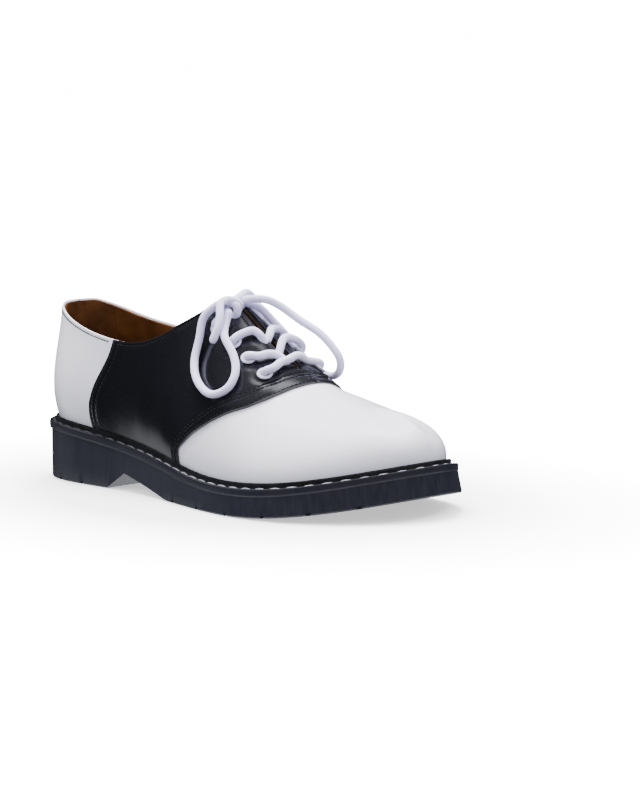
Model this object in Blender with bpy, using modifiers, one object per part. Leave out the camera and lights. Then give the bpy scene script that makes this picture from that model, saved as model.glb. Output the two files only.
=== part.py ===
# Saddle shoe for the right foot, laced with a bow: lasted upper with a black saddle over a white vamp
# and quarters, stitched welt and a moulded rubber sole with a heel. Metres, toe along +X, lateral side
# at -Y, floor at z = 0. The shapes are worked out in the last's own frame, whose x starts at the back of
# the welt, and one empty carries all pieces so that the shoe stands centred over the origin.

import math

import bmesh
import bpy
import numpy as np
from mathutils import Matrix, Vector

LENGTH = 0.300
BALL_WIDTH = 0.112
MIDDLE = (0.15065, -0.00085)
GAP = 0.0003

FEATHER_INSET = 0.0066
WALL = 0.0019
SADDLE_WALL = 0.0013
SADDLE_FOOT = 0.055
TONGUE_WALL = 0.0018
INSOLE_THICK = 0.0035
INSOLE_INSET = 0.0096

WELT_THICK = 0.0042
TOE_SPRING = 0.0130
TOE_SPRING_START = 0.200
SOLE_CHAMFER = 0.0008
SOLE_TOP_INSET = 0.0011

HEEL_BREAST = 0.077
ARCH_CREST = (0.0945, 0.0102)
ARCH_FRONT = 0.142
HEEL_GROUND_INSET = 0.0007
TOE_GROUND_INSET = -0.0018
GROOVE_WIDTH = 0.0024
GROOVE_DEPTH = 0.0015
HEEL_GROOVES = (0.032, 0.054)
FORE_GROOVES = (0.148, 0.176, 0.204, 0.232, 0.258, 0.280)

EYELET_HOLE = 0.0027
EYELET_BARREL = 0.0033
EYELET_FLANGE = 0.0044
EYELET_BORE = 0.0037
EYELET_LIFT = 0.0021

LACE = 0.0046
LACE_STEP = 0.0095

# Outline of the welt seen from above: turn runs from the back of the heel (0) to the toe (1);
# x as a share of LENGTH, y as a share of BALL_WIDTH.
OUTLINE = (
    # turn, lateral x, lateral y, medial x, medial y
    (0.00, 0.000, 0.000, 0.000, 0.000),
    (0.08, 0.030, -0.213, 0.030, 0.213),
    (0.17, 0.107, -0.324, 0.107, 0.324),
    (0.31, 0.267, -0.343, 0.267, 0.315),
    (0.45, 0.427, -0.389, 0.427, 0.306),
    (0.58, 0.573, -0.472, 0.560, 0.370),
    (0.69, 0.693, -0.509, 0.687, 0.454),
    (0.79, 0.807, -0.463, 0.800, 0.491),
    (0.88, 0.900, -0.324, 0.900, 0.426),
    (0.95, 0.967, -0.139, 0.963, 0.296),
    (1.00, 0.998, 0.083, 0.998, 0.083),
)

# Height of the welt's upper face along the shoe, x as a share of LENGTH.
WELT_TOP = (
    # x, height
    (0.000, 0.0335),
    (0.133, 0.0318),
    (0.267, 0.0279),
    (0.400, 0.0228),
    (0.533, 0.0174),
    (0.667, 0.0155),
    (0.833, 0.0191),
    (1.000, 0.0292),
)

# The last's centre line seen from above: x as a share of LENGTH, y as a share of BALL_WIDTH.
CENTRE_LINE = (
    # x, y
    (0.00, 0.000),
    (0.25, 0.000),
    (0.48, 0.012),
    (0.66, 0.036),
    (0.85, 0.062),
    (1.00, 0.083),
)

# Top line of the upper (collar, facings, then the ridge of the vamp) and the two handles of the rib that
# climbs to it from the feather edge: lean and rise leave the feather, reach and drop arrive at the top.
TOP_LINE = (
    # turn, x, half gap, height, lean, rise, reach, drop
    (0.00, 0.020, 0.000, 0.1000, 0.0086, 0.022, 0.0045, 0.022),
    (0.08, 0.035, 0.120, 0.0992, 0.0086, 0.022, 0.0050, 0.022),
    (0.17, 0.100, 0.212, 0.0925, 0.0076, 0.020, 0.0050, 0.022),
    (0.31, 0.258, 0.270, 0.0838, 0.0051, 0.018, 0.0050, 0.020),
    (0.38, 0.340, 0.262, 0.0838, 0.0045, 0.018, 0.0060, 0.020),
    (0.45, 0.418, 0.212, 0.0930, 0.0045, 0.020, 0.0090, 0.024),
    (0.49, 0.455, 0.110, 0.1020, 0.0045, 0.021, 0.0130, 0.022),
    (0.52, 0.478, 0.020, 0.1060, 0.0045, 0.022, 0.0160, 0.015),
    (0.58, 0.537, 0.022, 0.0960, 0.0045, 0.024, 0.0190, 0.004),
    (0.64, 0.602, 0.026, 0.0820, 0.0040, 0.026, 0.0220, 0.001),
    (0.67, 0.640, 0.024, 0.0745, 0.0040, 0.025, 0.0230, 0.000),
    (0.69, 0.662, 0.000, 0.0706, 0.0040, 0.024, 0.0240, 0.000),
    (0.79, 0.745, 0.000, 0.0615, 0.0040, 0.020, 0.0270, 0.000),
    (0.88, 0.800, 0.000, 0.0575, 0.0036, 0.018, 0.0290, 0.000),
    (0.95, 0.832, 0.000, 0.0558, 0.0030, 0.017, 0.0300, 0.000),
    (1.00, 0.843, 0.000, 0.0552, 0.0028, 0.017, 0.0300, 0.000),
)

# Where the saddle's back and front edges cross each level of the upper.
SADDLE_EDGES = (
    # level, back turn, front turn
    (0.00, 0.259, 0.503),
    (0.13, 0.256, 0.501),
    (0.21, 0.255, 0.526),
    (0.30, 0.256, 0.572),
    (0.40, 0.261, 0.622),
    (0.53, 0.270, 0.668),
    (0.69, 0.286, 0.697),
    (0.85, 0.303, 0.716),
    (1.00, 0.316, 0.730),
)

# Eyelets from the throat upwards.
EYELETS = (
    # turn, level
    (0.660, 0.763),
    (0.622, 0.764),
    (0.582, 0.766),
    (0.533, 0.790),
)

# Turns of the ribs: from, to, steps.
RIB_SPANS = (
    (0.00, 0.32, 8),
    (0.32, 0.44, 4),
    (0.44, 0.52, 4),
    (0.52, 0.67, 4),
    (0.67, 0.69, 1),
    (0.69, 1.00, 10),
)
SADDLE_LEVELS = (SADDLE_FOOT, 0.18, 0.30, 0.43, 0.56, 0.69, 0.81, 0.91, 1.0)
UPPER_LEVELS = (0.0, *SADDLE_LEVELS)
SADDLE_EDGE_STEPS = 13
RIDGE_FADE = (0.55, 0.65)
RIDGE_START = 0.69

# The welt's section: inset from the outline and height above the upper face.
WELT_SECTION = (
    # inset, height
    (0.0007, -WELT_THICK),
    (0.0001, -0.0030),
    (0.0001, -0.0010),
    (0.0009, 0.0000),
    (0.0019, 0.0000),
    (0.0024, -0.0006),
    (0.0031, -0.0006),
    (0.0036, 0.0000),
    (0.0038, 0.0022),
    (0.0044, 0.0028),
    (0.0050, 0.0026),
    (0.0060, 0.0000),
    (0.0110, 0.0000),
    (0.0110, -WELT_THICK),
)

# The tongue under the facings follows ribs and levels of the upper.
TONGUE_TURNS = (0.50, 0.52, 0.5575, 0.595, 0.6325, 0.67, 0.69, 0.721)
TONGUE_LEVELS = (0.69, 0.81, 0.91, 1.0)
TONGUE_DEPTH = 0.0011
TONGUE_CREST = 0.0032

# A crossing lace rises from its eyelet: level past the eyelet's own, and lift over the upper.
ENTRY = (
    # level, lift
    (0.000, 0.0038),
    (0.010, 0.0060),
    (0.060, 0.0072),
)
CROSSING_CREST = 0.0006

# The lace from eyelet to middle, over the facing: name, eyelet, then rows of turn, level and lift.
CROSSINGS = (
    ("lace_bar", 0, ((0.668, 0.90, 0.0058), (0.674, 0.985, 0.0060))),
    ("lace_cross_1", 1, ((0.636, 0.90, 0.0056), (0.648, 0.985, 0.0048))),
    ("lace_cross_2", 2, ((0.598, 0.90, 0.0056), (0.612, 0.985, 0.0048))),
)
RISE = (
    # turn, level, lift
    (0.533, 0.790, 0.0038),
    (0.533, 0.804, 0.0062),
    (0.535, 0.828, 0.0060),
    (0.537, 0.852, 0.0054),
)

# Routes of the bow's cords in the last's frame.
LOOP_LATERAL_ROUTE = (
    (0.1496, -0.0132, 0.1064),
    (0.1438, -0.0181, 0.0998),
    (0.1440, -0.0220, 0.0890),
    (0.1452, -0.0265, 0.0790),
    (0.1512, -0.0320, 0.0705),
    (0.1622, -0.0370, 0.0642),
    (0.1748, -0.0385, 0.0612),
    (0.1822, -0.0350, 0.0650),
    (0.1825, -0.0300, 0.0713),
    (0.1785, -0.0260, 0.0775),
    (0.1725, -0.0237, 0.0838),
    (0.1652, -0.0218, 0.0900),
    (0.1590, -0.0158, 0.0966),
    (0.1580, -0.0126, 0.1020),
)
LOOP_MEDIAL_ROUTE = (
    (0.1566, 0.0012, 0.1083),
    (0.1630, 0.0100, 0.1080),
    (0.1690, 0.0175, 0.1030),
    (0.1775, 0.0225, 0.0962),
    (0.1885, 0.0260, 0.0900),
    (0.1965, 0.0285, 0.0825),
    (0.2005, 0.0305, 0.0750),
    (0.1985, 0.0320, 0.0695),
    (0.1930, 0.0335, 0.0660),
    (0.1850, 0.0340, 0.0655),
    (0.1790, 0.0315, 0.0690),
    (0.1730, 0.0290, 0.0740),
    (0.1670, 0.0265, 0.0812),
    (0.1615, 0.0238, 0.0886),
    (0.1580, 0.0178, 0.0965),
    (0.1557, 0.0102, 0.1039),
    (0.1536, 0.0050, 0.1060),
)
END_LATERAL_ROUTE = (
    (0.1544, -0.0143, 0.1082),
    (0.1592, -0.0198, 0.1010),
    (0.1610, -0.0233, 0.0948),
    (0.1604, -0.0260, 0.0888),
)
END_MEDIAL_ROUTE = (
    (0.1508, 0.0022, 0.1098),
    (0.1480, 0.0095, 0.1110),
    (0.1465, 0.0160, 0.1065),
    (0.1460, 0.0215, 0.0990),
    (0.1465, 0.0255, 0.0900),
)
KNOT_PLACE = (0.1538, -0.0062, 0.1078)
KNOT_RADII = (0.0062, 0.0066, 0.0044)
KNOT_LEAN = 0.62


def cubic_curve(knots, values, ends="natural"):
    """Cubic spline through rows of values: natural or flat at its ends, or closed on itself."""
    knots = np.asarray(knots, float)
    values = np.asarray(values, float).reshape(len(knots), -1)
    steps = np.diff(knots)
    slopes = np.diff(values, axis=0) / steps[:, None]
    matrix = np.zeros((len(knots), len(knots)))
    right = np.zeros_like(values)
    for i in range(1, len(knots) - 1):
        matrix[i, i - 1:i + 2] = steps[i - 1], 2 * (steps[i - 1] + steps[i]), steps[i]
        right[i] = 6 * (slopes[i] - slopes[i - 1])
    if ends == "closed":
        matrix[0, [0, 1, -2]] = 2 * (steps[-1] + steps[0]), steps[0], steps[-1]
        right[0] = 6 * (slopes[0] - slopes[-1])
        matrix[-1, [0, -1]] = 1, -1
    elif ends == "flat":
        matrix[0, :2] = 2 * steps[0], steps[0]
        right[0] = 6 * slopes[0]
        matrix[-1, -2:] = steps[-1], 2 * steps[-1]
        right[-1] = -6 * slopes[-1]
    else:
        matrix[0, 0] = matrix[-1, -1] = 1
    bend = np.linalg.solve(matrix, right)

    def at(where):
        where = np.atleast_1d(np.asarray(where, float))
        if ends == "closed":
            where = knots[0] + np.mod(where - knots[0], knots[-1] - knots[0])
        i = np.clip(np.searchsorted(knots, where, side="right") - 1, 0, len(knots) - 2)
        before = (where - knots[i])[:, None]
        after = (knots[i + 1] - where)[:, None]
        step = steps[i][:, None]
        curved = (bend[i] * after ** 3 + bend[i + 1] * before ** 3) / (6 * step)
        start = (values[i] / step - bend[i] * step / 6) * after
        return curved + start + (values[i + 1] / step - bend[i + 1] * step / 6) * before

    return at


def steady_curve(knots, values):
    """Cubic curve that never overshoots its rows, so a level stretch stays level."""
    knots = np.asarray(knots, float)
    values = np.asarray(values, float)
    steps = np.diff(knots)
    slopes = np.diff(values) / steps
    tangents = np.zeros(len(knots))
    tangents[0], tangents[-1] = slopes[0], slopes[-1]
    for i in range(1, len(knots) - 1):
        if slopes[i - 1] * slopes[i] > 0:
            tangents[i] = 2 / (1 / slopes[i - 1] + 1 / slopes[i])

    def at(where):
        where = np.atleast_1d(where)
        i = np.clip(np.searchsorted(knots, where, side="right") - 1, 0, len(knots) - 2)
        t = (where - knots[i]) / steps[i]
        start = values[i] * (1 + 2 * t) * (1 - t) ** 2 + tangents[i] * steps[i] * t * (1 - t) ** 2
        return start + values[i + 1] * t * t * (3 - 2 * t) + tangents[i + 1] * steps[i] * t * t * (t - 1)

    return at


def ring_curve(rows):
    """Closed curve from rows of (turn, lateral x, lateral y, medial x, medial y); turns 1 to 2 are medial."""
    table = np.array(rows)
    knots = np.concatenate([table[:, 0], 2 - table[-2::-1, 0]])
    places = np.concatenate([table[:, 1:3], table[-2::-1, 3:5]])
    return cubic_curve(knots, places, "closed")


outline_shares = ring_curve(OUTLINE)
top_table = np.array(TOP_LINE)
top_x_share = steady_curve(top_table[:, 0], top_table[:, 1])
half_gap_share = steady_curve(top_table[:, 0], top_table[:, 2])
top_height = cubic_curve(top_table[:, 0], top_table[:, 3], "flat")
rib_handles = cubic_curve(top_table[:, 0], top_table[:, 4:])
welt_curve = cubic_curve(*zip(*WELT_TOP))
centre_curve = cubic_curve(*zip(*CENTRE_LINE))
edge_table = np.array(SADDLE_EDGES)
saddle_back = steady_curve(edge_table[:, 0], edge_table[:, 1])
saddle_front = steady_curve(edge_table[:, 0], edge_table[:, 2])


def outline(turn, inset):
    """Points of the welt's outline, moved inwards by inset."""
    nudge = 1e-4
    places = outline_shares(turn) * (LENGTH, BALL_WIDTH)
    along = (outline_shares(turn + nudge) - outline_shares(turn - nudge)) * (LENGTH, BALL_WIDTH)
    along /= np.linalg.norm(along, axis=1)[:, None]
    outward = np.column_stack([along[:, 1], -along[:, 0]])
    return places - outward * np.broadcast_to(inset, len(turn))[:, None], outward


def welt_height(x):
    return welt_curve(np.asarray(x) / LENGTH)[:, 0]


def sole_height(x):
    """The ground face: flat, then lifting towards the toe."""
    past = np.clip(np.asarray(x) - TOE_SPRING_START, 0, None) / (LENGTH - TOE_SPRING_START)
    return TOE_SPRING * past ** 2


def centre_y(x):
    return centre_curve(np.asarray(x) / LENGTH)[:, 0] * BALL_WIDTH


def folded(turn):
    """Turn from the heel along either side, and -1 on the lateral side, 1 on the medial side."""
    turn = np.mod(turn, 2)
    return np.where(turn <= 1, turn, 2 - turn), np.where(turn <= 1, -1.0, 1.0)


def top_line(turn):
    side_turn, side = folded(turn)
    x = top_x_share(side_turn) * LENGTH
    y = centre_y(x) + side * half_gap_share(side_turn) * BALL_WIDTH
    return np.column_stack([x, y, top_height(side_turn)[:, 0]])


def upper_surface(turn, level):
    """Outer face of the upper: one cubic rib for each turn, from the feather edge to the top line."""
    turn, level = (a.ravel() for a in np.broadcast_arrays(np.atleast_1d(turn), np.atleast_1d(level)))
    side_turn = folded(turn)[0]
    foot_plan, outward = outline(turn, FEATHER_INSET)
    foot = np.column_stack([foot_plan, welt_height(foot_plan[:, 0]) + GAP])
    top = top_line(turn)
    lean, rise, reach, drop = rib_handles(side_turn).T
    nudge = 1e-3
    before = np.clip(side_turn - nudge, 0, 1)
    after = np.clip(side_turn + nudge, 0, 1)
    run = (top_x_share(after) - top_x_share(before)) * LENGTH
    slope = (top_height(after) - top_height(before))[:, 0] / run
    away = foot[:, :2] - top[:, :2]
    away /= np.linalg.norm(away, axis=1)[:, None]
    on_ridge = np.interp(side_turn, RIDGE_FADE, [0, 1])
    first = foot + np.column_stack([outward * lean[:, None], rise])
    fall = on_ridge * slope * away[:, 0] * reach - drop
    second = top + np.column_stack([away * reach[:, None], fall])
    s = level[:, None]
    return foot * (1 - s) ** 3 + 3 * first * s * (1 - s) ** 2 + 3 * second * s * s * (1 - s) + top * s ** 3


def upper_normal(turn, level):
    turn, level = (a.ravel() for a in np.broadcast_arrays(np.atleast_1d(turn), np.atleast_1d(level)))
    nudge = 1e-3
    round_shoe = upper_surface(turn + nudge, level) - upper_surface(turn - nudge, level)
    ends_meet = (folded(turn)[0] >= RIDGE_START) & (level > 0.999)
    ridge = top_line(np.clip(folded(turn)[0] + nudge, 0, 1)) - top_line(folded(turn)[0] - nudge)
    round_shoe = np.where(ends_meet[:, None], ridge * -folded(turn)[1][:, None], round_shoe)
    upwards = upper_surface(turn, np.minimum(level + nudge, 1)) - upper_surface(turn, level - nudge)
    normal = np.cross(round_shoe, upwards)
    return normal / np.linalg.norm(normal, axis=1)[:, None]


def over_upper(turn, level, lift):
    """Points at a height over the upper's outer face, or under it where lift is negative."""
    return upper_surface(turn, level) + upper_normal(turn, level) * np.atleast_1d(lift)[:, None]


def rib_turns():
    """Turns of the ribs all round the shoe."""
    side = [0.0]
    for start, end, steps in RIB_SPANS:
        side += [start + (end - start) * (i + 1) / steps for i in range(steps)]
    side = np.array(side)
    return np.concatenate([side, 2 - side[-2:0:-1]])


def material(name, colour, roughness, metallic=0.0):
    made = bpy.data.materials.new(name)
    made.use_nodes = True
    shader = made.node_tree.nodes["Principled BSDF"]
    shader.inputs["Base Color"].default_value = (*colour, 1.0)
    shader.inputs["Roughness"].default_value = roughness
    shader.inputs["Metallic"].default_value = metallic
    made.diffuse_color = (*colour, 1.0)
    return made


def add_object(name, data, collection, finish):
    made = bpy.data.objects.new(name, data)
    if finish is not None:
        data.materials.append(finish)
    collection.objects.link(made)
    return made


def add_mesh(name, shape, collection, finish, sharp=math.radians(35)):
    """Object from a bmesh, shaded smooth but for its sharp edges."""
    mesh = bpy.data.meshes.new(name)
    shape.to_mesh(mesh)
    shape.free()
    mesh.shade_smooth()
    mesh.set_sharp_from_angle(angle=sharp)
    return add_object(name, mesh, collection, finish)


def grid_shape(grid, closed=False):
    """Open surface through a grid of points [column][row]; columns may close on themselves."""
    shape = bmesh.new()
    verts = [[shape.verts.new(p) for p in column] for column in grid]
    last = len(verts) if closed else len(verts) - 1
    for i in range(last):
        here, following = verts[i], verts[(i + 1) % len(verts)]
        for j in range(len(here) - 1):
            shape.faces.new((here[j], following[j], following[j + 1], here[j + 1]))
    bmesh.ops.remove_doubles(shape, verts=shape.verts, dist=1e-5)
    bmesh.ops.triangulate(shape, faces=shape.faces, quad_method="FIXED")
    return shape


def sole_shaped(rings):
    """Closed solid through rings that start at the heel, with ladder faces across its ground and top."""
    shape = bmesh.new()
    verts = [[shape.verts.new(p) for p in ring] for ring in rings]
    count = len(rings[0])
    for low, high in zip(verts, verts[1:]):
        for i in range(count):
            j = (i + 1) % count
            shape.faces.new((low[i], low[j], high[j], high[i]))
    for ring in (verts[0], verts[-1]):
        for i in range(count // 2):
            corners = (ring[i], ring[i + 1], ring[count - i - 1], ring[(count - i) % count])
            shape.faces.new(list(dict.fromkeys(corners)))
    bmesh.ops.recalc_face_normals(shape, faces=shape.faces)
    return shape


def cut_with(target, cutters):
    cut = target.modifiers.new("cut", "BOOLEAN")
    cut.operation = "DIFFERENCE"
    cut.operand_type = "COLLECTION"
    cut.collection = cutters


def hide_cutter(cutter):
    cutter.hide_render = True
    cutter.display_type = "WIRE"


def prism_cutter(name, profile, half_width, collection):
    """Cutter across the sole from a profile of (x, z) points."""
    shape = bmesh.new()
    face = shape.faces.new([shape.verts.new((x, -half_width, z)) for x, z in profile])
    grown = bmesh.ops.extrude_face_region(shape, geom=[face])["geom"]
    moved = [g for g in grown if isinstance(g, bmesh.types.BMVert)]
    bmesh.ops.translate(shape, verts=moved, vec=(0, 2 * half_width, 0))
    bmesh.ops.recalc_face_normals(shape, faces=shape.faces)
    cutter = add_mesh(name, shape, collection, None)
    hide_cutter(cutter)
    return cutter


def build_outsole(pieces, cutters, finish, turns):
    """Rubber sole unit: heel, arch notch, toe spring and the grooves that show at its edge."""
    from_heel = outline_shares(turns)[:, 0]
    ground_inset = np.interp(from_heel, [0.1, 1.0], [HEEL_GROUND_INSET, TOE_GROUND_INSET])
    rings = []
    for extra, height in ((SOLE_CHAMFER, 0.0), (0.0, SOLE_CHAMFER)):
        plan = outline(turns, ground_inset + extra)[0]
        rings.append(np.column_stack([plan, sole_height(outline(turns, 0)[0][:, 0]) + height]))
    plan = outline(turns, SOLE_TOP_INSET)[0]
    rings.append(np.column_stack([plan, welt_height(plan[:, 0]) - WELT_THICK - GAP]))
    sole = add_mesh("outsole", sole_shaped(rings), pieces, finish)
    crest_x, crest_z = ARCH_CREST
    below = -0.010
    arch = [(HEEL_BREAST, 0), (HEEL_BREAST, below), (ARCH_FRONT, below), (ARCH_FRONT, 0), (crest_x, crest_z)]
    prism_cutter("arch_cutter", arch, BALL_WIDTH, cutters)
    for i, x in enumerate(HEEL_GROOVES + FORE_GROOVES):
        bottom = float(sole_height([x])[0])
        slope = float(sole_height([x + 0.001])[0] - sole_height([x - 0.001])[0]) / 0.002
        bpy.ops.mesh.primitive_cube_add(size=1)
        groove = bpy.context.object
        groove.name = f"groove_cutter_{i + 1}"
        groove.data.transform(Matrix.Diagonal((GROOVE_WIDTH, 2 * BALL_WIDTH, 2 * GROOVE_DEPTH, 1)))
        groove.location = (x, 0, bottom)
        groove.rotation_euler = (0, -math.atan(slope), 0)
        for owner in groove.users_collection:
            owner.objects.unlink(groove)
        cutters.objects.link(groove)
        hide_cutter(groove)
    cut_with(sole, cutters)
    return sole


def build_welt(pieces, finish, turns):
    """Stitched welt with a raised rand against the upper."""
    grid = []
    for inset, height in WELT_SECTION + WELT_SECTION[:1]:
        plan = outline(turns, inset)[0]
        grid.append(np.column_stack([plan, welt_height(plan[:, 0]) + height]))
    columns = np.array(grid).transpose(1, 0, 2)
    shape = grid_shape(columns, closed=True)
    bmesh.ops.recalc_face_normals(shape, faces=shape.faces)
    return add_mesh("welt", shape, pieces, finish)


def build_insole(pieces, finish, turns):
    plan = outline(turns, INSOLE_INSET)[0]
    base = welt_height(plan[:, 0]) + GAP
    rings = [np.column_stack([plan, base + lift]) for lift in (0, INSOLE_THICK)]
    return add_mesh("insole", sole_shaped(rings), pieces, finish)


def build_upper(pieces, holes, finish, turns):
    """One hollow lasted shell, open at the collar, between the facings and underneath."""
    columns = [upper_surface(turn, np.array(UPPER_LEVELS)) for turn in turns]
    upper = add_mesh("upper", grid_shape(columns, closed=True), pieces, finish)
    wall = upper.modifiers.new("wall", "SOLIDIFY")
    wall.thickness = WALL
    wall.offset = -1
    wall.use_quality_normals = True
    cut_with(upper, holes)
    return upper


def edge_block(name, edge, far_x, over_ridge, edges):
    """Cutter that takes all leather beyond one edge of the saddle, as far as far_x."""
    deep, proud, widening = -0.005, 0.006, 2.4
    down, up = np.array([0, 0, -0.012]), np.array([0, 0, 0.030])
    levels = np.linspace(0, 1, SADDLE_EDGE_STEPS)
    turns = edge(levels)
    rings = []
    for lift in (deep, proud):
        lateral = over_upper(turns, levels, lift + np.zeros(len(levels)))
        medial = over_upper(2 - turns, levels, lift + np.zeros(len(levels)))
        foot = (lateral[0] + medial[0]) / 2
        crest = (lateral[-1] + medial[-1]) / 2
        above = [lateral[-1], lateral[-1] + up, crest + up, medial[-1] + up, medial[-1]]
        above = [crest] if over_ridge else above
        rows = [foot + down, lateral[0] + down, *lateral[:-1], *above, *medial[-2::-1], medial[0] + down]
        rings.append(np.array(rows))
    far = rings[-1] * (0, widening, 1) + (far_x, 0, 0)
    hide_cutter(add_mesh(name, sole_shaped([*rings, far]), edges, None))


def build_saddle(pieces, holes, edges, finish, turns):
    """Overlay cut from a band over the upper at its back edge and at its front edge over the ridge."""
    columns = [over_upper(turn, np.array(SADDLE_LEVELS), GAP + np.zeros(len(SADDLE_LEVELS))) for turn in turns]
    saddle = add_mesh("saddle", grid_shape(columns, closed=True), pieces, finish)
    wall = saddle.modifiers.new("wall", "SOLIDIFY")
    wall.thickness = SADDLE_WALL
    wall.offset = 1
    wall.use_quality_normals = True
    edge_block("behind_saddle", saddle_back, -0.05, False, edges)
    edge_block("before_saddle", saddle_front, LENGTH + 0.05, True, edges)
    cut_with(saddle, edges)
    cut_with(saddle, holes)
    return saddle


def tongue_rib(turn):
    """Points across the tongue, whose sides end where they are a crest's width apart."""
    lift = -(WALL + TONGUE_DEPTH)
    lowest = TONGUE_LEVELS[0]
    fine = np.linspace(lowest, 1, 200)
    apart = over_upper(2 - turn, fine, lift)[:, 1] - over_upper(turn, fine, lift)[:, 1]
    highest = fine[apart >= TONGUE_CREST].max()
    levels = lowest + (np.array(TONGUE_LEVELS) - lowest) * (highest - lowest) / (1 - lowest)
    return np.concatenate([over_upper(turn, levels, lift), over_upper(2 - turn, levels, lift)[::-1]])


def build_tongue(pieces, finish):
    """Leather tongue under the facings, from the vamp to just below the collar."""
    grid = [tongue_rib(turn) for turn in TONGUE_TURNS]
    shape = grid_shape(grid)
    tongue = add_mesh("tongue", shape, pieces, finish)
    wall = tongue.modifiers.new("wall", "SOLIDIFY")
    wall.thickness = TONGUE_WALL
    wall.offset = -1
    return tongue


def eyelet_frames():
    """Name, place on the saddle and outward direction of each eyelet."""
    frames = []
    for side_name, side in (("lateral", False), ("medial", True)):
        for i, (turn, level) in enumerate(EYELETS):
            turn = 2 - turn if side else turn
            place = over_upper([turn], [level], [0])[0]
            frames.append((f"{side_name}_{i + 1}", Vector(place), Vector(upper_normal([turn], [level])[0])))
    return frames


def upright_to(direction):
    return direction.to_track_quat("Z", "Y").to_euler()


def build_hole_cutters(holes):
    for name, place, direction in eyelet_frames():
        bpy.ops.mesh.primitive_cylinder_add(vertices=16, radius=EYELET_BORE, depth=0.012)
        cutter = bpy.context.object
        cutter.name = f"hole_{name}"
        cutter.location = place
        cutter.rotation_euler = upright_to(direction)
        for owner in cutter.users_collection:
            owner.objects.unlink(cutter)
        holes.objects.link(cutter)
        hide_cutter(cutter)


def build_eyelets(pieces, finish):
    """Enamelled metal rings with a barrel through saddle and upper: one turned profile, eight copies."""
    round_edge = 0.0004
    height = 0.0011
    barrel_end = -(EYELET_LIFT + WALL + 0.0002)
    profile = (
        (EYELET_HOLE + round_edge, height),
        (EYELET_FLANGE - round_edge, height),
        (EYELET_FLANGE, height * 0.4),
        (EYELET_FLANGE, 0.0),
        (EYELET_BARREL, 0.0),
        (EYELET_BARREL, barrel_end),
        (EYELET_HOLE, barrel_end),
        (EYELET_HOLE, height - round_edge),
    )
    mesh = bpy.data.meshes.new("eyelet")
    edges = [(i, (i + 1) % len(profile)) for i in range(len(profile))]
    mesh.from_pydata([(x, 0, z) for x, z in profile], edges, [])
    mesh.materials.append(finish)
    for name, place, direction in eyelet_frames():
        eyelet = add_object(f"eyelet_{name}", mesh, pieces, None)
        eyelet.location = place + direction * EYELET_LIFT
        eyelet.rotation_euler = upright_to(direction)
        turned = eyelet.modifiers.new("turned", "SCREW")
        turned.steps = turned.render_steps = 14
        turned.use_merge_vertices = True
        turned.merge_threshold = 1e-5
        turned.use_smooth_shade = True


def add_cord(name, route, finish, pieces, step=LACE_STEP):
    """Round cord along a smooth curve through its route's points."""
    route = np.array(route)
    lengths = np.concatenate([[0], np.cumsum(np.linalg.norm(np.diff(route, axis=0), axis=1))])
    count = max(4, int(round(lengths[-1] / step)) + 1)
    places = cubic_curve(lengths, route)(np.linspace(0, lengths[-1], count))
    curve = bpy.data.curves.new(name, "CURVE")
    curve.dimensions = "3D"
    curve.bevel_depth = LACE / 2
    curve.bevel_resolution = 2
    curve.use_fill_caps = True
    spline = curve.splines.new("POLY")
    spline.points.add(count - 1)
    for point, place in zip(spline.points, places):
        point.co = (*place, 1)
    return add_object(name, curve, pieces, finish)


def eyelet_entry(index, side):
    """Points of a lace that rises from an eyelet and bends over the saddle."""
    turn, level = EYELETS[index]
    turn = 2 - turn if side > 0 else turn
    levels, lifts = np.array(ENTRY).T
    return list(over_upper(turn, level + levels, lifts))


def build_crossings(pieces, finish):
    """The bar at the throat, the two crossings above it and the two short rises to the knot."""
    for name, eyelet, steps in CROSSINGS:
        turns, levels, lifts = (np.array(values) for values in zip(*steps))
        lateral = eyelet_entry(eyelet, -1) + list(over_upper(turns, levels, lifts))
        medial = eyelet_entry(eyelet, 1) + list(over_upper(2 - turns, levels, lifts))
        middle = (lateral[-1] + medial[-1]) / 2 + np.array([0, 0, CROSSING_CREST])
        add_cord(name, lateral + [middle] + medial[::-1], finish, pieces, LACE)
    turns, levels, lifts = (np.array(values) for values in zip(*RISE))
    add_cord("lace_rise_lateral", over_upper(turns, levels, lifts), finish, pieces, LACE)
    add_cord("lace_rise_medial", over_upper(2 - turns, levels, lifts), finish, pieces, LACE)


def build_bow(pieces, finish):
    """The bow's knot as one rounded solid, with two loops and two ends leaving it."""
    bpy.ops.mesh.primitive_uv_sphere_add(segments=16, ring_count=8, radius=1)
    knot = bpy.context.object
    knot.name = "lace_knot"
    knot.data.transform(Matrix.Diagonal((*KNOT_RADII, 1)))
    knot.location = KNOT_PLACE
    knot.rotation_euler = (0, KNOT_LEAN, 0)
    for owner in knot.users_collection:
        owner.objects.unlink(knot)
    pieces.objects.link(knot)
    knot.data.materials.append(finish)
    knot.data.shade_smooth()
    add_cord("lace_loop_lateral", LOOP_LATERAL_ROUTE, finish, pieces)
    add_cord("lace_loop_medial", LOOP_MEDIAL_ROUTE, finish, pieces)
    add_cord("lace_end_lateral", END_LATERAL_ROUTE, finish, pieces)
    add_cord("lace_end_medial", END_MEDIAL_ROUTE, finish, pieces)


def new_collection(name):
    made = bpy.data.collections.new(name)
    bpy.context.scene.collection.children.link(made)
    return made


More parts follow.
